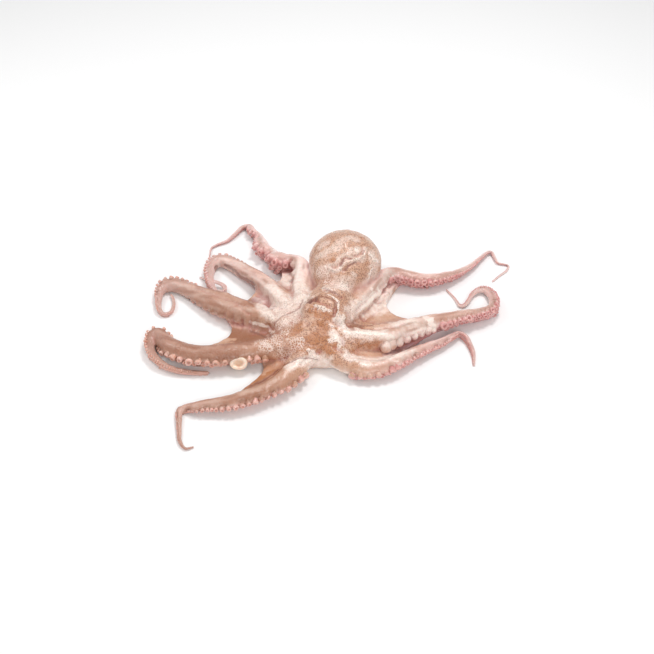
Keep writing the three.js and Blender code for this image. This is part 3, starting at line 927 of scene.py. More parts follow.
# %% Open sucker
OPEN_RADIUS = 9.5
OPEN_FACING = np.array((-0.08, -0.72, 0.68))  # towards the front and up
OPEN_CUP = [(0.8, -1.0), (0.94, -0.3), (1.02, 0.05), (0.98, 0.3), (0.8, 0.42), (0.6, 0.32),
            (0.42, 0.02), (0.26, -0.16), (0.1, -0.2)]
points, faces, marks = cup_mesh(OPEN_SUCKER_AT, OPEN_FACING, OPEN_RADIUS, sides=40, squeeze=1.14,
                                turn=0.8, profile=OPEN_CUP)
points += 0.35 * cloud(points, 6, 12)[:, None] * (0, 0, 1)
open_sucker = smooth_piece("open_sucker", points, faces)
keep_masks(open_sucker.data, dict(zip(("rim", "well"), marks)))
print("open sucker:", len(faces), "faces")

# %% [markdown]
# ## Where the colours go
# The animal is not one colour. Its back is tan and freckled, the sucker side is pale pink, and
# stretched skin turns cream. Painted shade darkens and reddens the hollows and creases, and
# painted sheen and glare lighten the backs of the arms and some crests. Each of these is a
# mask: a number from 0 to 1 kept on every point of the mesh, which the material then reads.
# Masks follow the form, so they are worked out from the arm coordinates and from strokes. A
# table of strokes, each a line and a width, stands for one kind of patch.

# %% Patches of colour
finder = skin_finder(skin)


def settled(table):
    return [(laid_on_skin(line, finder), width) for line, width in table]


PALE_AND_LIGHT_PATCHES = settled([
    # line, width: skin that is drawn thin and has lost its colour, with soft edges. Those on the
    # right side and the front of the mantle and on the lobes under the right arm are painted light
    ([(-22, 132, 38), (-21, 104, 41), (-22, 76, 41), (-27, 48, 40), (-34, 30, 37)], 18),
    ([(-64, 86, 26), (-56, 72, 29), (-46, 52, 31), (-38, 34, 34)], 16),
    ([(-73, 47, 28), (-62, 38, 29), (-50, 32, 31)], 11),
    ([(4, 126, 70), (12, 129, 77)], 6),
    (WAVY_FOLD, 5), (UPPER_FOLD, 3.5), ([(47, 108, 76), (56, 113, 76)], 7),
    ([(20, -10, 38), (26, -18, 33)], 6),
    ([(-49, 112, 20), (-46, 126, 16)], 13),
    ([(58, 47, 31), (71, 68, 27), (86, 95, 18)], 13),
    ([(-65, 54, 29), (-57, 63, 23), (-44, 45, 30)], 12),
    ([(24, 115, 78), (30, 122, 81), (40, 130, 81), (51, 132, 80)], 7),
    ([(1, 91, 56), (7, 91, 62), (14, 91, 65)], 6),
    ([(5, 85, 56), (12, 85, 61)], 5),
    ([(44, 83, 60), (49, 83, 57)], 3.5),
    # painted light: the right side of the mantle made paler
    ([(70, 112, 66), (73, 107, 58), (73, 101, 48), (66, 91, 42)], 9),
    # painted light: the front of the mantle made paler
    ([(26, 72, 52), (40, 76, 50)], 12),
    ([(-1, 113, 64), (7, 112, 70), (16, 114, 75)], 6),
    # painted highlight on top of the lobes under the right arm
    ([(87, -12, 22), (103, -3, 23), (123, 10, 23), (148, 22, 22)], 9),
    ([(48, 40, 33), (60, 56, 31), (72, 72, 29), (84, 92, 26), (96, 118, 24)], 15),
    ([(78, 62, 16), (86, 80, 16), (94, 96, 14)], 15),
    ([(44, 24, 36), (50, 40, 34)], 8),
    ([(38, -7, 37), (56, -6, 35), (75, -6, 32), (94, -4, 27), (112, 2, 24), (130, 12, 22)], 9),
    ([(100, 14, 28), (125, 26, 24)], 8),
    ([(36, -36, 20), (60, -46, 16), (90, -38, 14), (118, -20, 12)], 9),
    ([(-14, -40, 16), (4, -36, 14), (20, -36, 12), (40, -46, 10)], 11),
    ([(-34, -58, 24), (-24, -50, 26), (-10, -42, 26)], 7),
    ([(24, 8, 48), (30, -2, 44)], 6.5),
])
CREAM_AND_GLARE_PATCHES = settled([
    # line, width: the palest places, with sharp torn edges. Some are pale skin, and those on the
    # crests of the mantle's folds and along the ridge of the right arm are painted glare
    # painted glare on the crest of the wavy fold
    (WAVY_FOLD[:4], 2.6),
    (WAVY_FOLD, 1.1),
    ([(51, 111, 76)], 4.2),
    ([(68, 112, 69), (74, 110, 61), (78, 113, 57)], 2.8),
    ([(71, 101, 56), (69, 96, 52), (67, 92, 45)], 2.4),
    ([(13, 60, 54), (24, 62, 54), (36, 66, 51)], 8.5),
    ([(70, 81, 34)], 4),
    ([(13, 44, 55), (27, 36, 52), (26, 14, 53), (21, 8, 49)], 1.5),
    ([(31, 8, 51)], 5), ([(37, 31, 42)], 6),
    ([(22, -12, 35), (27, -22, 31)], 4),
    ([(62, 52, 30), (72, 70, 26), (82, 86, 21)], 6), ([(-65, 54, 29), (-57, 60, 25)], 6),
    ([(18, 1, 40)], 4),
    ([(16, -19, 34), (26, -15, 34), (31, -18, 31), (27, -28, 30)], 4),
    ([(-20, -14, 35), (-17, -17, 32)], 2.6),
    ([(-11, -32, 30), (-7, -37, 26), (0, -34, 23)], 3.4),
    ([(-88, 35, 18), (-72, 28, 20), (-56, 8, 23)], 2.6),
    ([(-71, -18, 29), (-60, -22, 28)], 3.0),
    ([(50, 40, 34), (63, 58, 32), (76, 76, 28)], 6),
    ([(-4, 28, 52), (3, 24, 53)], 2.2), ([(3, 24, 53), (9, 21, 53)], 4.0),
    ([(9, 21, 53), (17, 18, 51)], 2.4),
    ([(32, 8, 48), (31, 0, 42), (36, 0, 39)], 4),
    ([(-6, -33, 28), (-1, -39, 22)], 5),
    # painted glare along the ridge of the right arm
    ([(38, -7, 37), (56, -6, 35), (75, -6, 32), (94, -4, 27)], 3.5),
    ([(140, 34, 26), (146, 28, 24), (150, 22, 20)], 6),
    ([(-24, -50, 26), (-10, -42, 26)], 4),
    ([(66, 70, 28), (80, 88, 26)], 5),
])
NET_PATCHES = settled([
    # where the pale net shows between the freckles
    ([(-27, 28, 37), (-44, 11, 31), (-50, -9, 31), (-39, -28, 22), (-29, -24, 28)], 15),
    ([(-71, -18, 29), (-60, -22, 28)], 10),
    ([(34, 18, 44), (44, 30, 38)], 10), ([(-62, 6, 27), (-45, 14, 31), (-32, 24, 36)], 13),
    ([(20, 60, 54), (10, 84, 58)], 9),
    ([(1, 90, 57), (12, 88, 62)], 9),
])
RUST_PATCHES = settled([
    # where the freckles crowd into rusty brown
    ([(54, -17, 27), (64, -13, 32), (74, -15, 27)], 8),
    ([(-22, -24, 31), (-6, -19, 35), (6, -12, 38), (14, -14, 36)], 15),
    ([(-40, -2, 33), (-28, 4, 36)], 11),
    ([(8, -20, 34), (22, -30, 28)], 9),
    ([(-32, -6, 34)], 8),
    ([(-1, -24, 32), (13, -30, 29)], 7),
    ([(-18, -42, 28), (-7, -40, 25)], 5),
    ([(6, 2, 42), (16, -6, 41)], 8),
    ([(-7, 21, 52), (-1, 15, 50), (13, 12, 49)], 6),
    ([(-60, -52, 14), (-86, -74, 16)], 9),
    ([(-120, 74, 22), (-96, 58, 23), (-70, 42, 27)], 6),
    ([(30, 92, 68), (20, 98, 70)], 5),
])
CREASE_SHADE_PATCHES = settled([
    # painted shade in the deepest creases and in the shut eye
    ([(-4, 42, 51), (-11, 40, 48), (-13, 33, 48)], 3.8), ([(-11, 39, 48)], 5.5),
    ([(30, 90, 69), (32, 95, 71), (34, 98, 72)], 1.7),
    ([(38, 99, 73), (44, 99, 72)], 1.2),
    ([(35, 84, 64), (42, 91, 68), (50, 95, 69)], 1.3),
    ([(9, 59, 54), (16, 53, 55), (25, 48, 54), (31, 45, 52)], 1.3),
    ([(59, 108, 72), (61, 113, 73)], 1.0),
    (HEAD_LINE, 0.8),
    (FRONT_LINE, 0.8),
    ([(-88, 25, 11), (-73, 16, 13), (-59, -7, 28)], 1.8),
    ([(-124, 88, 20), (-96, 72, 22)], 4),
    ([(-139, 158, 9), (-116, 134, 12), (-94, 110, 15)], 4),
    ([(22, 24, 50), (21, 11, 50)], 1.6),
    ([(104, 122, 20), (110, 124, 14)], 5),
    ([(-44, 142, 18), (-50, 148, 12)], 6),
])
UMBER_AND_SHADE_PATCHES = settled([
    # the darkest brown of the back, and painted shade along the grooves of the head and the front
    # and round the shut eye
    ([(-160, 100, 20), (-130, 85, 22), (-100, 67, 24), (-76, 50, 27)], 6),
    ([(-120, 158, 16), (-98, 134, 20), (-78, 110, 24), (-60, 86, 28)], 5),
    ([(-170, -8, 24), (-130, -12, 27), (-96, -10, 28), (-64, 0, 29)], 12),
    # painted shade along grooves of the head and the front
    ([(-7, 47, 49), (4, 43, 54), (16, 38, 55), (23, 34, 53), (24, 24, 50), (22, 9, 50)], 1.8),
    (HEAD_LINE, 2.6),
    (FRONT_LINE, 2.8),
    ([(-104, -92, 16), (-72, -76, 18), (-46, -48, 22)], 6),
    ([(-60, 6, 27), (-44, 12, 31)], 6),
    ([(50, 26, 32), (62, 24, 33), (80, 20, 32), (100, 24, 28)], 5),
    # painted shade in a groove at the base of the left arm
    ([(-86, 18, 13), (-68, 18, 20), (-48, 11, 30)], 5),
    ([(-108, 22, 9), (-93, 22, 11), (-78, 20, 13), (-66, 12, 20)], 16),
    ([(44, 6, 36), (81, 27, 19), (107, 35, 18)], 5),
    # painted shade round the shut eye
    ([(-5, 42, 51), (-11, 40, 48), (-13, 33, 48)], 6),
])
VEIL_PATCHES = settled([([(-80, 82, 15), (-70, 70, 19), (-62, 52, 25)], 10)])
# this one follows the lobes below the arm, so it isn't laid on the skin
VEIL_PATCHES.append(([(86, -21, 9), (102, -13, 10), (122, 1, 10), (149, 17, 9)], 5))
print(len(PALE_AND_LIGHT_PATCHES), "pale patches,", len(CREAM_AND_GLARE_PATCHES), "cream_and_glare")

# %% [markdown]
# The arms differ too: some keep their tan to the tip, some turn pink near the crown. The
# shares below say how strongly each arm takes part. All masks are then worked out together,
# for any set of points, so that the skin, the tips and the suckers agree where they meet.

# %% Masks
# how tan the back of each arm is
TAN_SHARE = {"front_left": 0.95, "left": 0.9, "back_left_low": 0.85, "back_left_high": 0.5,
             "back_left": 0.02, "back_right": 0.15, "right": 0.6, "front_right": 0.4}
UMBER_SHARE = {"left": 1.0, "back_left_low": 0.7, "back_left_high": 0.12,
               "front_left": 0.7, "right": 0.15}  # dark brown streaks
BROWN_DOWN = {"left": 0.4, "front_left": 0.35, "back_left_low": 0.3}  # how far it wraps round
# painted sheen: these arms get less of the paler colour painted on their backs
LESS_PAINTED_SHEEN = {"left": 0.1, "front_left": 0.4, "back_left_low": 0.6}  # arms with less gleam
FAR_FADE = {"left": 0.3, "front_left": 0.3, "back_left_low": 0.6}  # these keep their tan longer
# how red the sucker side is
BLUSH = {"back_left": 0.9, "back_right": 1.0, "right": 1.0, "front_right": 0.8,
         "front_left": 0.4, "left": 0.1, "back_left_low": 0.3, "back_left_high": 0.45}


def strength(points, table):
    total = np.zeros(len(points))
    for line, width in table:
        total = np.maximum(total, stroke_weight(points, line, width))
    return total


def patches(points, table, rag=0.45, seed=0):
    total = strength(points, table)
    torn = total + rag * (cloud(points, 7, 50 + seed) + 0.6 * cloud(points, 3, 51 + seed)) * (
        total > 0.03)
    return ramp(torn, 0.3, 0.62)


def arm_share(place, table, default=0.0):
    values = np.array([table.get(name, default) for name in ARM_NAMES])
    return values[place["arm"]]


def paint(points, hollow_shade):
    place = arm_place(points)
    backwards, distance = place["backwards"], place["distance"]
    sideways = np.abs(place["sideways"])
    close = ramp(1.75 - distance, 0, 0.5)
    on_arm = ramp(place["along"], 45, 110) * close
    outwards = place["along"] / ARM_LENGTHS[place["arm"]]
    far = ramp(outwards, 0.35, 0.85)
    fading = arm_share(place, FAR_FADE, 1.0)
    # how much painted sheen each arm gets
    sheen_amount = arm_share(place, LESS_PAINTED_SHEEN, 1.0)
    webbed = ramp(distance, 1.1, 1.35)
    ragged = 0.22 * cloud(points, 11, 60) + 0.12 * cloud(points, 4, 61)
    back = ramp(backwards + ragged + arm_share(place, BROWN_DOWN), -0.42, 0.28)
    share = arm_share(place, TAN_SHARE)
    tan = (1 - on_arm) + on_arm * np.maximum(back, webbed) * share * (1 - 0.55 * far * fading)

    pale = strength(points, PALE_AND_LIGHT_PATCHES)
    mottled = 0.22 * cloud(points, 8, 63) + 0.2 * cloud(points, 3.6, 65)
    pale = ramp(pale + mottled * (pale > 0.02), 0.1, 0.8) * (1 - 0.4 * mantle_share(points))
    # painted sheen: the flat backs of the arms are made paler in soft patches
    flat_back = ramp(backwards, 0.3, 0.9) * on_arm
    pale = np.maximum(pale, 0.3 * sheen_amount * flat_back * ramp(cloud(points, 16, 62), 0.1, 0.7))

    drawn_out = np.stack([place["along"] / 5, place["sideways"] * place["half"],
                          backwards * place["half"]], axis=1)
    streak = cloud(drawn_out, 4.5, 64)
    brown_back = (on_arm * back * arm_share(place, UMBER_SHARE)
                  * (0.7 + 0.3 * ramp(streak, -0.5, 0.6)))
    # dark brown of the back, with painted shade along some grooves
    umber_and_shade = np.maximum(patches(points, UMBER_AND_SHADE_PATCHES, seed=5), brown_back)
    near_crown = 1 - ramp(place["along"], 45, 85) * close
    return {
        "tan": tan,
        "streak": on_arm * ramp(streak, -0.1, 0.8),
        # painted sheen: the backs of the arms are paler between the dark streaks
        "painted_sheen": on_arm * ramp(-streak, 0.1, 0.9) * ramp(backwards, -0.2, 0.4) * sheen_amount,
        "far": on_arm * ramp(outwards, 0.45, 0.8) * fading,
        # painted shade: the upper sides of the arms are darker where they turn away
        "side_shade": on_arm * ramp(sideways, 0.62, 0.95) * ramp(backwards, -0.35, 0.05),
        "cream_and_glare": strength(points, CREAM_AND_GLARE_PATCHES),
        "pale": pale,
        "net": strength(points, NET_PATCHES),
        "blush": arm_share(place, BLUSH),
        "rust": patches(points, RUST_PATCHES, seed=2) * (1 - 0.7 * pale),
        # painted shade in the deepest creases
        "crease_shade": patches(points, CREASE_SHADE_PATCHES, rag=0.2, seed=3),
        "veil": patches(points, VEIL_PATCHES, rag=0.2, seed=4),
        "umber_and_shade": umber_and_shade * (1 - 0.75 * pale),
        "row": on_arm * ramp(-backwards, 0.2, 0.5) * (1 - webbed),
        "rose": on_arm * (1 - webbed) * ((1 - back) * 0.75 + 0.2 * far),
        # painted shade in the hollows
        "hollow_shade": hollow_shade,
        "freckle": tan * (1 - 0.5 * pale) * near_crown * ramp(points[:, 2], 14, 26),
    }


print("masks can be worked out for any point")

# %% [markdown]
# Hollows, where the skin gets painted shade, are found by comparing the skin with a much
# smoother copy of itself: where the copy lies outside the skin, the skin is hollow.

# %% Paint the pieces
skin = read_points(fused)
normals = read_normals(fused)
smooth_copy = iron(skin, times=14, amount=0.6)
# where the skin is hollow it gets painted shade
hollow_shade = ramp(((smooth_copy - skin) * normals).sum(axis=1), 0.06, 0.8)
for _ in range(2):
    hollow_shade = 0.5 * hollow_shade + 0.5 * middle_of_neighbours(hollow_shade)
keep_masks(fused, paint(skin, hollow_shade))

for piece in [arm_tips, sucker_stalks, open_sucker, *sucker_pieces]:
    points = read_points(piece.data)
    keep_masks(piece.data, paint(points, np.zeros(len(points))))
print("hollow skin:", round(float((hollow_shade > 0.5).mean()) * 100, 1), "percent")

# %% [markdown]
# ## Freckles, net and wet relief
# Three effects are shared by the materials, so each is a node group with named inputs and
# outputs. They could be painted as pictures, but worked out from the place on the animal
# they stay sharp at any size. A few short helpers place the nodes and join them.

# %% Node helpers
def add(tree, kind, links=None, **settings):
    made = tree.nodes.new(kind)
    for name, value in settings.items():
        setattr(made, name, value)
    for socket, value in (links or {}).items():
        target = made.inputs[socket]
        if isinstance(value, bpy.types.NodeSocket):
            tree.links.new(value, target)
        else:
            target.default_value = value
    return made


def new_group(name, inputs, outputs):
    group = bpy.data.node_groups.new(name, "ShaderNodeTree")
    for label, default in inputs:
        socket = group.interface.new_socket(label, in_out="INPUT", socket_type="NodeSocketFloat")
        socket.default_value = default
    for label in outputs:
        group.interface.new_socket(label, in_out="OUTPUT", socket_type="NodeSocketFloat")
    return group, add(group, "NodeGroupInput"), add(group, "NodeGroupOutput")


def math_node(tree, operation, a, b):
    return add(tree, "ShaderNodeMath", {0: a, 1: b}, operation=operation).outputs[0]


def fade(tree, value, low, high, to_low=0.0, to_high=1.0):
    return add(tree, "ShaderNodeMapRange", {"Value": value, "From Min": low, "From Max": high,
                                            "To Min": to_low, "To Max": to_high},
               interpolation_type="SMOOTHSTEP").outputs[0]


def noise(tree, vector, scale, detail, roughness=0.5, distortion=0.0, output="Fac"):
    return add(tree, "ShaderNodeTexNoise",
               {"Vector": vector, "Scale": scale, "Detail": detail, "Roughness": roughness,
                "Distortion": distortion}).outputs[output]


def object_place(tree):
    return add(tree, "ShaderNodeTexCoord").outputs["Object"]


print("node helpers are ready")

# %% [markdown]
# Freckles are the tiny colour cells of the skin: dots of uneven size, thick in some places
# and thin in others. Each is the middle of one cell of a Voronoi pattern.

# %% Freckle group
freckles, given, result = new_group(
    "freckles", [("Cells per metre", 700.0), ("Dot size", 0.42), ("Cover", 0.6)], ["Dots"])
spot = object_place(freckles)
cells = add(freckles, "ShaderNodeTexVoronoi",
            {"Vector": spot, "Scale": given.outputs["Cells per metre"], "Randomness": 1.0})
uneven = noise(freckles, spot, 160.0, 2.0)
broad = noise(freckles, spot, 38.0, 3.0)
reach = math_node(freckles, "MULTIPLY", given.outputs["Dot size"],
                  fade(freckles, uneven, 0.3, 0.7, 0.8, 1.15))
dots = fade(freckles, math_node(freckles, "SUBTRACT", reach, cells.outputs["Distance"]),
            -0.03, 0.06)
cover = fade(freckles, math_node(freckles, "ADD", broad, given.outputs["Cover"]), 0.75, 1.15)
freckles.links.new(math_node(freckles, "MULTIPLY", dots, cover), result.inputs["Dots"])
print(len(freckles.nodes), "nodes make the freckles")

# %% [markdown]
# The net is the pale mesh that shows between the freckles where the skin is drawn up. The
# edges of a Voronoi pattern give it, bent by a noise and broken here and there.

# %% Net group
skin_net, given, result = new_group(
    "skin_net", [("Cells per metre", 300.0), ("Line width", 0.1)], ["Net"])
spot = object_place(skin_net)
shift = add(skin_net, "ShaderNodeVectorMath",
            {0: noise(skin_net, spot, 240.0, 2.0, output="Color"), "Scale": 0.0028},
            operation="SCALE").outputs[0]
bent = add(skin_net, "ShaderNodeVectorMath", {0: spot, 1: shift}, operation="ADD").outputs[0]
meshes = add(skin_net, "ShaderNodeTexVoronoi",
             {"Vector": bent, "Scale": given.outputs["Cells per metre"]},
             feature="DISTANCE_TO_EDGE")
lines = math_node(skin_net, "SUBTRACT", given.outputs["Line width"], meshes.outputs["Distance"])
broken = fade(skin_net, noise(skin_net, spot, 70.0, 2.0), 0.32, 0.52)
skin_net.links.new(math_node(skin_net, "MULTIPLY", fade(skin_net, lines, -0.02, 0.09), broken),
                   result.inputs["Net"])
print(len(skin_net.nodes), "nodes make the net")

# %% [markdown]
# Wet relief is the fine unevenness that breaks the highlights: a fine noise and a broader one
# added together, used later as a bump.

# %% Wet relief group
wet_relief, given, result = new_group("wet_relief", [("Fine", 0.4), ("Broad", 0.6)], ["Height"])
spot = object_place(wet_relief)
fine = noise(wet_relief, spot, 360.0, 4.0, roughness=0.6)
wide = noise(wet_relief, spot, 130.0, 4.0, distortion=0.6)
height = math_node(wet_relief, "ADD",
                   math_node(wet_relief, "MULTIPLY", fine, given.outputs["Fine"]),
                   math_node(wet_relief, "MULTIPLY", wide, given.outputs["Broad"]))
wet_relief.links.new(height, result.inputs["Height"])
print("groups:", [g.name for g in bpy.data.node_groups])

# %% [markdown]
# ## The wet skin material
# The animal has few colours: pinks for the flesh, tans and browns for the back, creams for
# stretched skin, and reds for the hollows. Some of them also stand for light and shade: the
# pale for painted sheen, the cream for painted glare, and the browns and reds for painted
# shade. They are named once here and mixed by the masks.

# %% Colours
def srgb(red, green, blue):
    return tuple(((v / 255 + 0.055) / 1.055) ** 2.4 if v > 10 else v / 3294
                 for v in (red, green, blue)) + (1.0,)


FLESH_PINK = srgb(234, 195, 187)
ROSE = srgb(216, 152, 150)
TAN = srgb(197, 149, 121)
TAN_LIGHT = srgb(206, 164, 139)
RUST = srgb(178, 116, 74)
# dark brown of the back, also used as painted shade in grooves and down the arms' sides
UMBER_AND_SHADE = srgb(146, 91, 62)
# pale skin, also used as painted sheen on the arms' backs
PALE_AND_SHEEN = srgb(246, 229, 219)
# cream skin, also used as painted glare on crests
CREAM_AND_GLARE = srgb(246, 231, 220)
FRECKLE_BROWN = srgb(116, 70, 50)
MAUVE = srgb(232, 203, 199)
NET_GROUND = srgb(176, 126, 106)
NET_WHITE = srgb(246, 226, 214)
# painted shade in creases
FOLD_SHADE = srgb(120, 74, 64)
# painted shade in hollows
HOLLOW_SHADE_RED = srgb(170, 100, 90)
ROW_PEACH = srgb(214, 156, 132)
ROW_RED = srgb(200, 126, 126)
VEIL_GREY = srgb(182, 150, 154)


def lay(tree, under, over, share):
    mixed = add(tree, "ShaderNodeMix", data_type="RGBA")
    for socket, value in ((mixed.inputs[0], share), (mixed.inputs[6], under),
                          (mixed.inputs[7], over)):
        if isinstance(value, bpy.types.NodeSocket):
            tree.links.new(value, socket)
        else:
            socket.default_value = value
    return mixed.outputs[2]


def mask_of(tree, name):
    return add(tree, "ShaderNodeAttribute", attribute_name=name).outputs["Fac"]


def use_group(tree, group, **values):
    placed = add(tree, "ShaderNodeGroup", node_tree=group)
    for name, value in values.items():
        placed.inputs[name.replace("_", " ")].default_value = value
    return placed.outputs[0]


print("a colour in Blender's own scale:", [round(v, 3) for v in TAN])

# %% [markdown]
# Colours are laid over each other as a painter would: pink flesh, tan back, rust and cream
# patches, painted sheen on the backs of the arms, painted shade down their sides and painted
# glare on some crests, then freckles and net, and last the painted shade of the hollows and
# creases. A clear coat stands for the film of water, and light that passes a few millimetres
# into the flesh softens the shadows.

# %% Wet skin
def new_material(name):
    material = bpy.data.materials.new(name)
    material.use_nodes = True
    return material


def wet_shader(material, roughness, coat, scatter):
    shader = material.node_tree.nodes["Principled BSDF"]
    shader.inputs["Roughness"].default_value = roughness
    shader.inputs["Coat Weight"].default_value = coat
    shader.inputs["Coat Roughness"].default_value = 0.13
    shader.inputs["Coat IOR"].default_value = 1.38
    shader.inputs["Subsurface Weight"].default_value = scatter
    shader.inputs["Subsurface Radius"].default_value = (1.0, 0.42, 0.3)
    shader.inputs["Subsurface Scale"].default_value = 0.003
    return shader


def times(tree, *values):
    product = values[0]
    for value in values[1:]:
        product = math_node(tree, "MULTIPLY", product, value)
    return product


def lay_mask(tree, under, over, name, share):
    return lay(tree, under, over, times(tree, mask_of(tree, name), share))


def skin_colour(tree):
    spot = object_place(tree)
    mottle = noise(tree, spot, 45.0, 5.0, roughness=0.62)
    small = noise(tree, spot, 190.0, 4.0, roughness=0.65)
    grain = noise(tree, spot, 520.0, 3.0, roughness=0.7)
    flesh = lay(tree, FLESH_PINK, PALE_AND_SHEEN, fade(tree, mottle, 0.42, 0.68, 0.0, 0.6))
    flesh = lay(tree, flesh, ROSE, times(tree, mask_of(tree, "rose"),
                                         fade(tree, small, 0.3, 0.65, 0.35, 0.9)))
    row = lay(tree, ROW_PEACH, ROW_RED, mask_of(tree, "blush"))
    flesh = lay_mask(tree, flesh, row, "row", 0.7)
    back = lay(tree, TAN, TAN_LIGHT, fade(tree, mottle, 0.4, 0.62))
    back = lay(tree, back, PALE_AND_SHEEN, fade(tree, small, 0.56, 0.8, 0.0, 0.3))
    back = lay_mask(tree, back, RUST, "rust", 0.88)
    back = lay_mask(tree, back, UMBER_AND_SHADE, "umber_and_shade", 0.88)
    colour = lay(tree, flesh, back, mask_of(tree, "tan"))
    colour = lay_mask(tree, colour, VEIL_GREY, "veil", 0.7)
    colour = lay(tree, colour, PALE_AND_SHEEN, times(tree, mask_of(tree, "pale"),
                                           fade(tree, small, 0.3, 0.7, 1.0, 0.5)))
    # streaks and the mauve far ends are the skin's own colour; then painted sheen on the backs of
    # the arms and painted shade down their upper sides
    for over, name, share in ((UMBER_AND_SHADE, "streak", 0.46), (PALE_AND_SHEEN, "painted_sheen", 0.3),
                              (MAUVE, "far", 0.6), (UMBER_AND_SHADE, "side_shade", 0.32)):
        colour = lay_mask(tree, colour, over, name, share)
    # cream skin and painted glare, with torn edges
    torn = math_node(tree, "ADD", mask_of(tree, "cream_and_glare"), fade(tree, small, 0.3, 0.7, -0.32, 0.28))
    torn = math_node(tree, "ADD", torn, fade(tree, grain, 0.3, 0.7, -0.08, 0.08))
    colour = lay(tree, colour, CREAM_AND_GLARE, fade(tree, torn, 0.36, 0.7, 0.0, 0.74))
    dots = use_group(tree, freckles, Cells_per_metre=490.0, Dot_size=0.42, Cover=0.92)
    colour = lay(tree, colour, FRECKLE_BROWN, times(tree, dots, mask_of(tree, "freckle"), 0.66))
    net = use_group(tree, skin_net, Cells_per_metre=330.0, Line_width=0.12)
    colour = lay(tree, colour, NET_GROUND, times(tree, mask_of(tree, "net"),
                                                 mask_of(tree, "tan"), 0.5))
    colour = lay(tree, colour, NET_WHITE, times(
        tree, net, fade(tree, mask_of(tree, "net"), 0.2, 0.7, 0.05, 0.8),
        mask_of(tree, "tan")))
    # painted shade last: dark red in the hollows and dark brown in the deepest creases
    colour = lay_mask(tree, colour, HOLLOW_SHADE_RED, "hollow_shade", 0.6)
    return lay_mask(tree, colour, FOLD_SHADE, "crease_shade", 0.6)


def finish_skin(material, colour, strength, distance, fine, broad, **shader_values):
    tree = material.node_tree
    shader = wet_shader(material, **shader_values)
    tree.links.new(colour, shader.inputs["Base Color"])
    height = use_group(tree, wet_relief, Fine=fine, Broad=broad)
    bump = add(tree, "ShaderNodeBump", {"Height": height, "Strength": strength,
                                        "Distance": distance})
    tree.links.new(bump.outputs["Normal"], shader.inputs["Normal"])


wet_skin = new_material("wet_skin")
finish_skin(wet_skin, skin_colour(wet_skin.node_tree), strength=0.8, distance=0.0016,
            fine=0.55, broad=0.8, roughness=0.26, coat=0.25, scatter=0.14)
for piece in (octopus_skin, arm_tips, sucker_stalks):
    piece.data.materials.append(wet_skin)
print(len(wet_skin.node_tree.nodes), "nodes in the wet skin")

# %% [markdown]
# Suckers are fleshy and pink, with a pale rim, and their hollow is painted darker as shade.
# The rim mask made with each cup tells the material which is which.

# %% Sucker material
SUCKER_PEACH = srgb(211, 158, 134)
SUCKER_RED = srgb(200, 130, 130)
SUCKER_RIM = srgb(244, 214, 202)
# painted shade in the hollow of each cup
SUCKER_WELL_SHADE = srgb(176, 100, 90)


def sucker_colour(tree, rim_share, well_shade_share):
    mottle = noise(tree, object_place(tree), 140.0, 4.0)
    colour = lay(tree, SUCKER_PEACH, SUCKER_RED, mask_of(tree, "blush"))
    colour = lay(tree, colour, FLESH_PINK, fade(tree, mottle, 0.38, 0.64, 0.0, 0.45))
    colour = lay_mask(tree, colour, SUCKER_RIM, "rim", rim_share)
    # painted shade in the cup's hollow
    return lay_mask(tree, colour, SUCKER_WELL_SHADE, "well", well_shade_share)


sucker_skin = new_material("sucker_skin")
finish_skin(sucker_skin, sucker_colour(sucker_skin.node_tree, rim_share=0.22, well_shade_share=0.5),
            strength=0.35, distance=0.0008, fine=0.4, broad=0.6,
            roughness=0.3, coat=0.35, scatter=0.2)
for piece in sucker_pieces:
    piece.data.materials.append(sucker_skin)
print(len(sucker_skin.node_tree.nodes), "nodes in the suckers' skin")

# %% [markdown]
# The open sucker has bled pale. Its flesh is almost white, and only the bottom of the bowl
# keeps some orange.

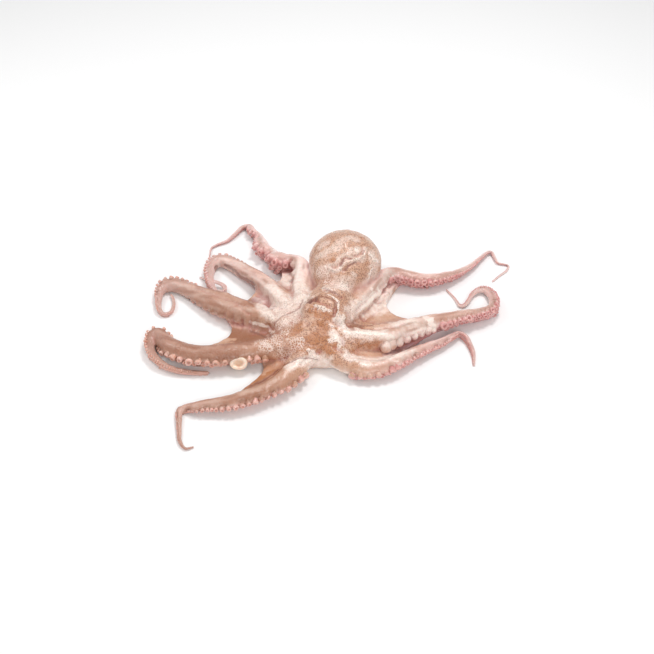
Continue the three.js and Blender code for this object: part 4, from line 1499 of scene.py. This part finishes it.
# %% Open sucker material
OPEN_PALE = srgb(246, 224, 204)
OPEN_BOWL = srgb(232, 190, 160)
open_skin = new_material("open_sucker_skin")
tree = open_skin.node_tree
mottle = noise(tree, object_place(tree), 210.0, 5.0)
colour = lay(tree, OPEN_PALE, SUCKER_PEACH, fade(tree, mottle, 0.45, 0.75, 0.0, 0.45))
colour = lay(tree, colour, OPEN_BOWL, times(tree, mask_of(tree, "well"),
                                            fade(tree, mottle, 0.3, 0.7, 0.5, 0.9)))
finish_skin(open_skin, colour, strength=0.4, distance=0.001, fine=0.4, broad=0.7,
            roughness=0.28, coat=0.4, scatter=0.25)
open_sucker.data.materials.append(open_skin)
print("materials:", [m.name for m in bpy.data.materials])

# %% [markdown]
# ## Table and light
# A wide pale table and a bright, even surround, as for a product picture. A soft light high
# behind the animal gives the wet skin its highlights, a weaker one from the left fills the
# shadows, and a third from the front right shows the rows of suckers.

# %% Table and light
TABLE_HALF = 4000
corners = [(TABLE_HALF * x, TABLE_HALF * y, 0) for x, y in ((-1, -1), (1, -1), (1, 1), (-1, 1))]
floor = new_piece("table_top", corners, [(0, 1, 2, 3)])
floor_material = new_material("pale_table")
floor_shader = floor_material.node_tree.nodes["Principled BSDF"]
floor_shader.inputs["Base Color"].default_value = (0.9, 0.9, 0.9, 1)
floor_shader.inputs["Roughness"].default_value = 0.8
floor.data.materials.append(floor_material)

world = bpy.data.worlds.new("studio")
bpy.context.scene.world = world
world.use_nodes = True
world.node_tree.nodes["Background"].inputs["Color"].default_value = (1, 1, 1, 1)
world.node_tree.nodes["Background"].inputs["Strength"].default_value = 0.6
bpy.context.scene.view_settings.view_transform = "Standard"


def soft_light(name, at, aim, size, power):
    data = bpy.data.lights.new(name, "AREA")
    data.size = size
    data.energy = power
    light = bpy.data.objects.new(name, data)
    light.location = at
    light.rotation_euler = (Vector(aim) - Vector(at)).to_track_quat("-Z", "Y").to_euler()
    bpy.context.scene.collection.objects.link(light)


soft_light("overhead", at=(0.3, 0.5, 1.4), aim=(0, 0.05, 0), size=0.36, power=9)
soft_light("left_fill", at=(-0.9, 0.35, 1.1), aim=(-0.05, 0.05, 0), size=0.5, power=4)
soft_light("front_lamp", at=(0.4, -1.3, 0.95), aim=(0, 0, 0), size=0.4, power=7.5)
print("table, surround and", len(bpy.data.lights), "lights")

# %% [markdown]
# ## Handing over
# Every piece rides on the one body and stands for the plain solid, which is hidden.

# %% Hand over
pieces = [octopus_skin, arm_tips, sucker_stalks, open_sucker, *sucker_pieces]
for piece in pieces:
    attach(piece, "root")
    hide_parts("octopus")
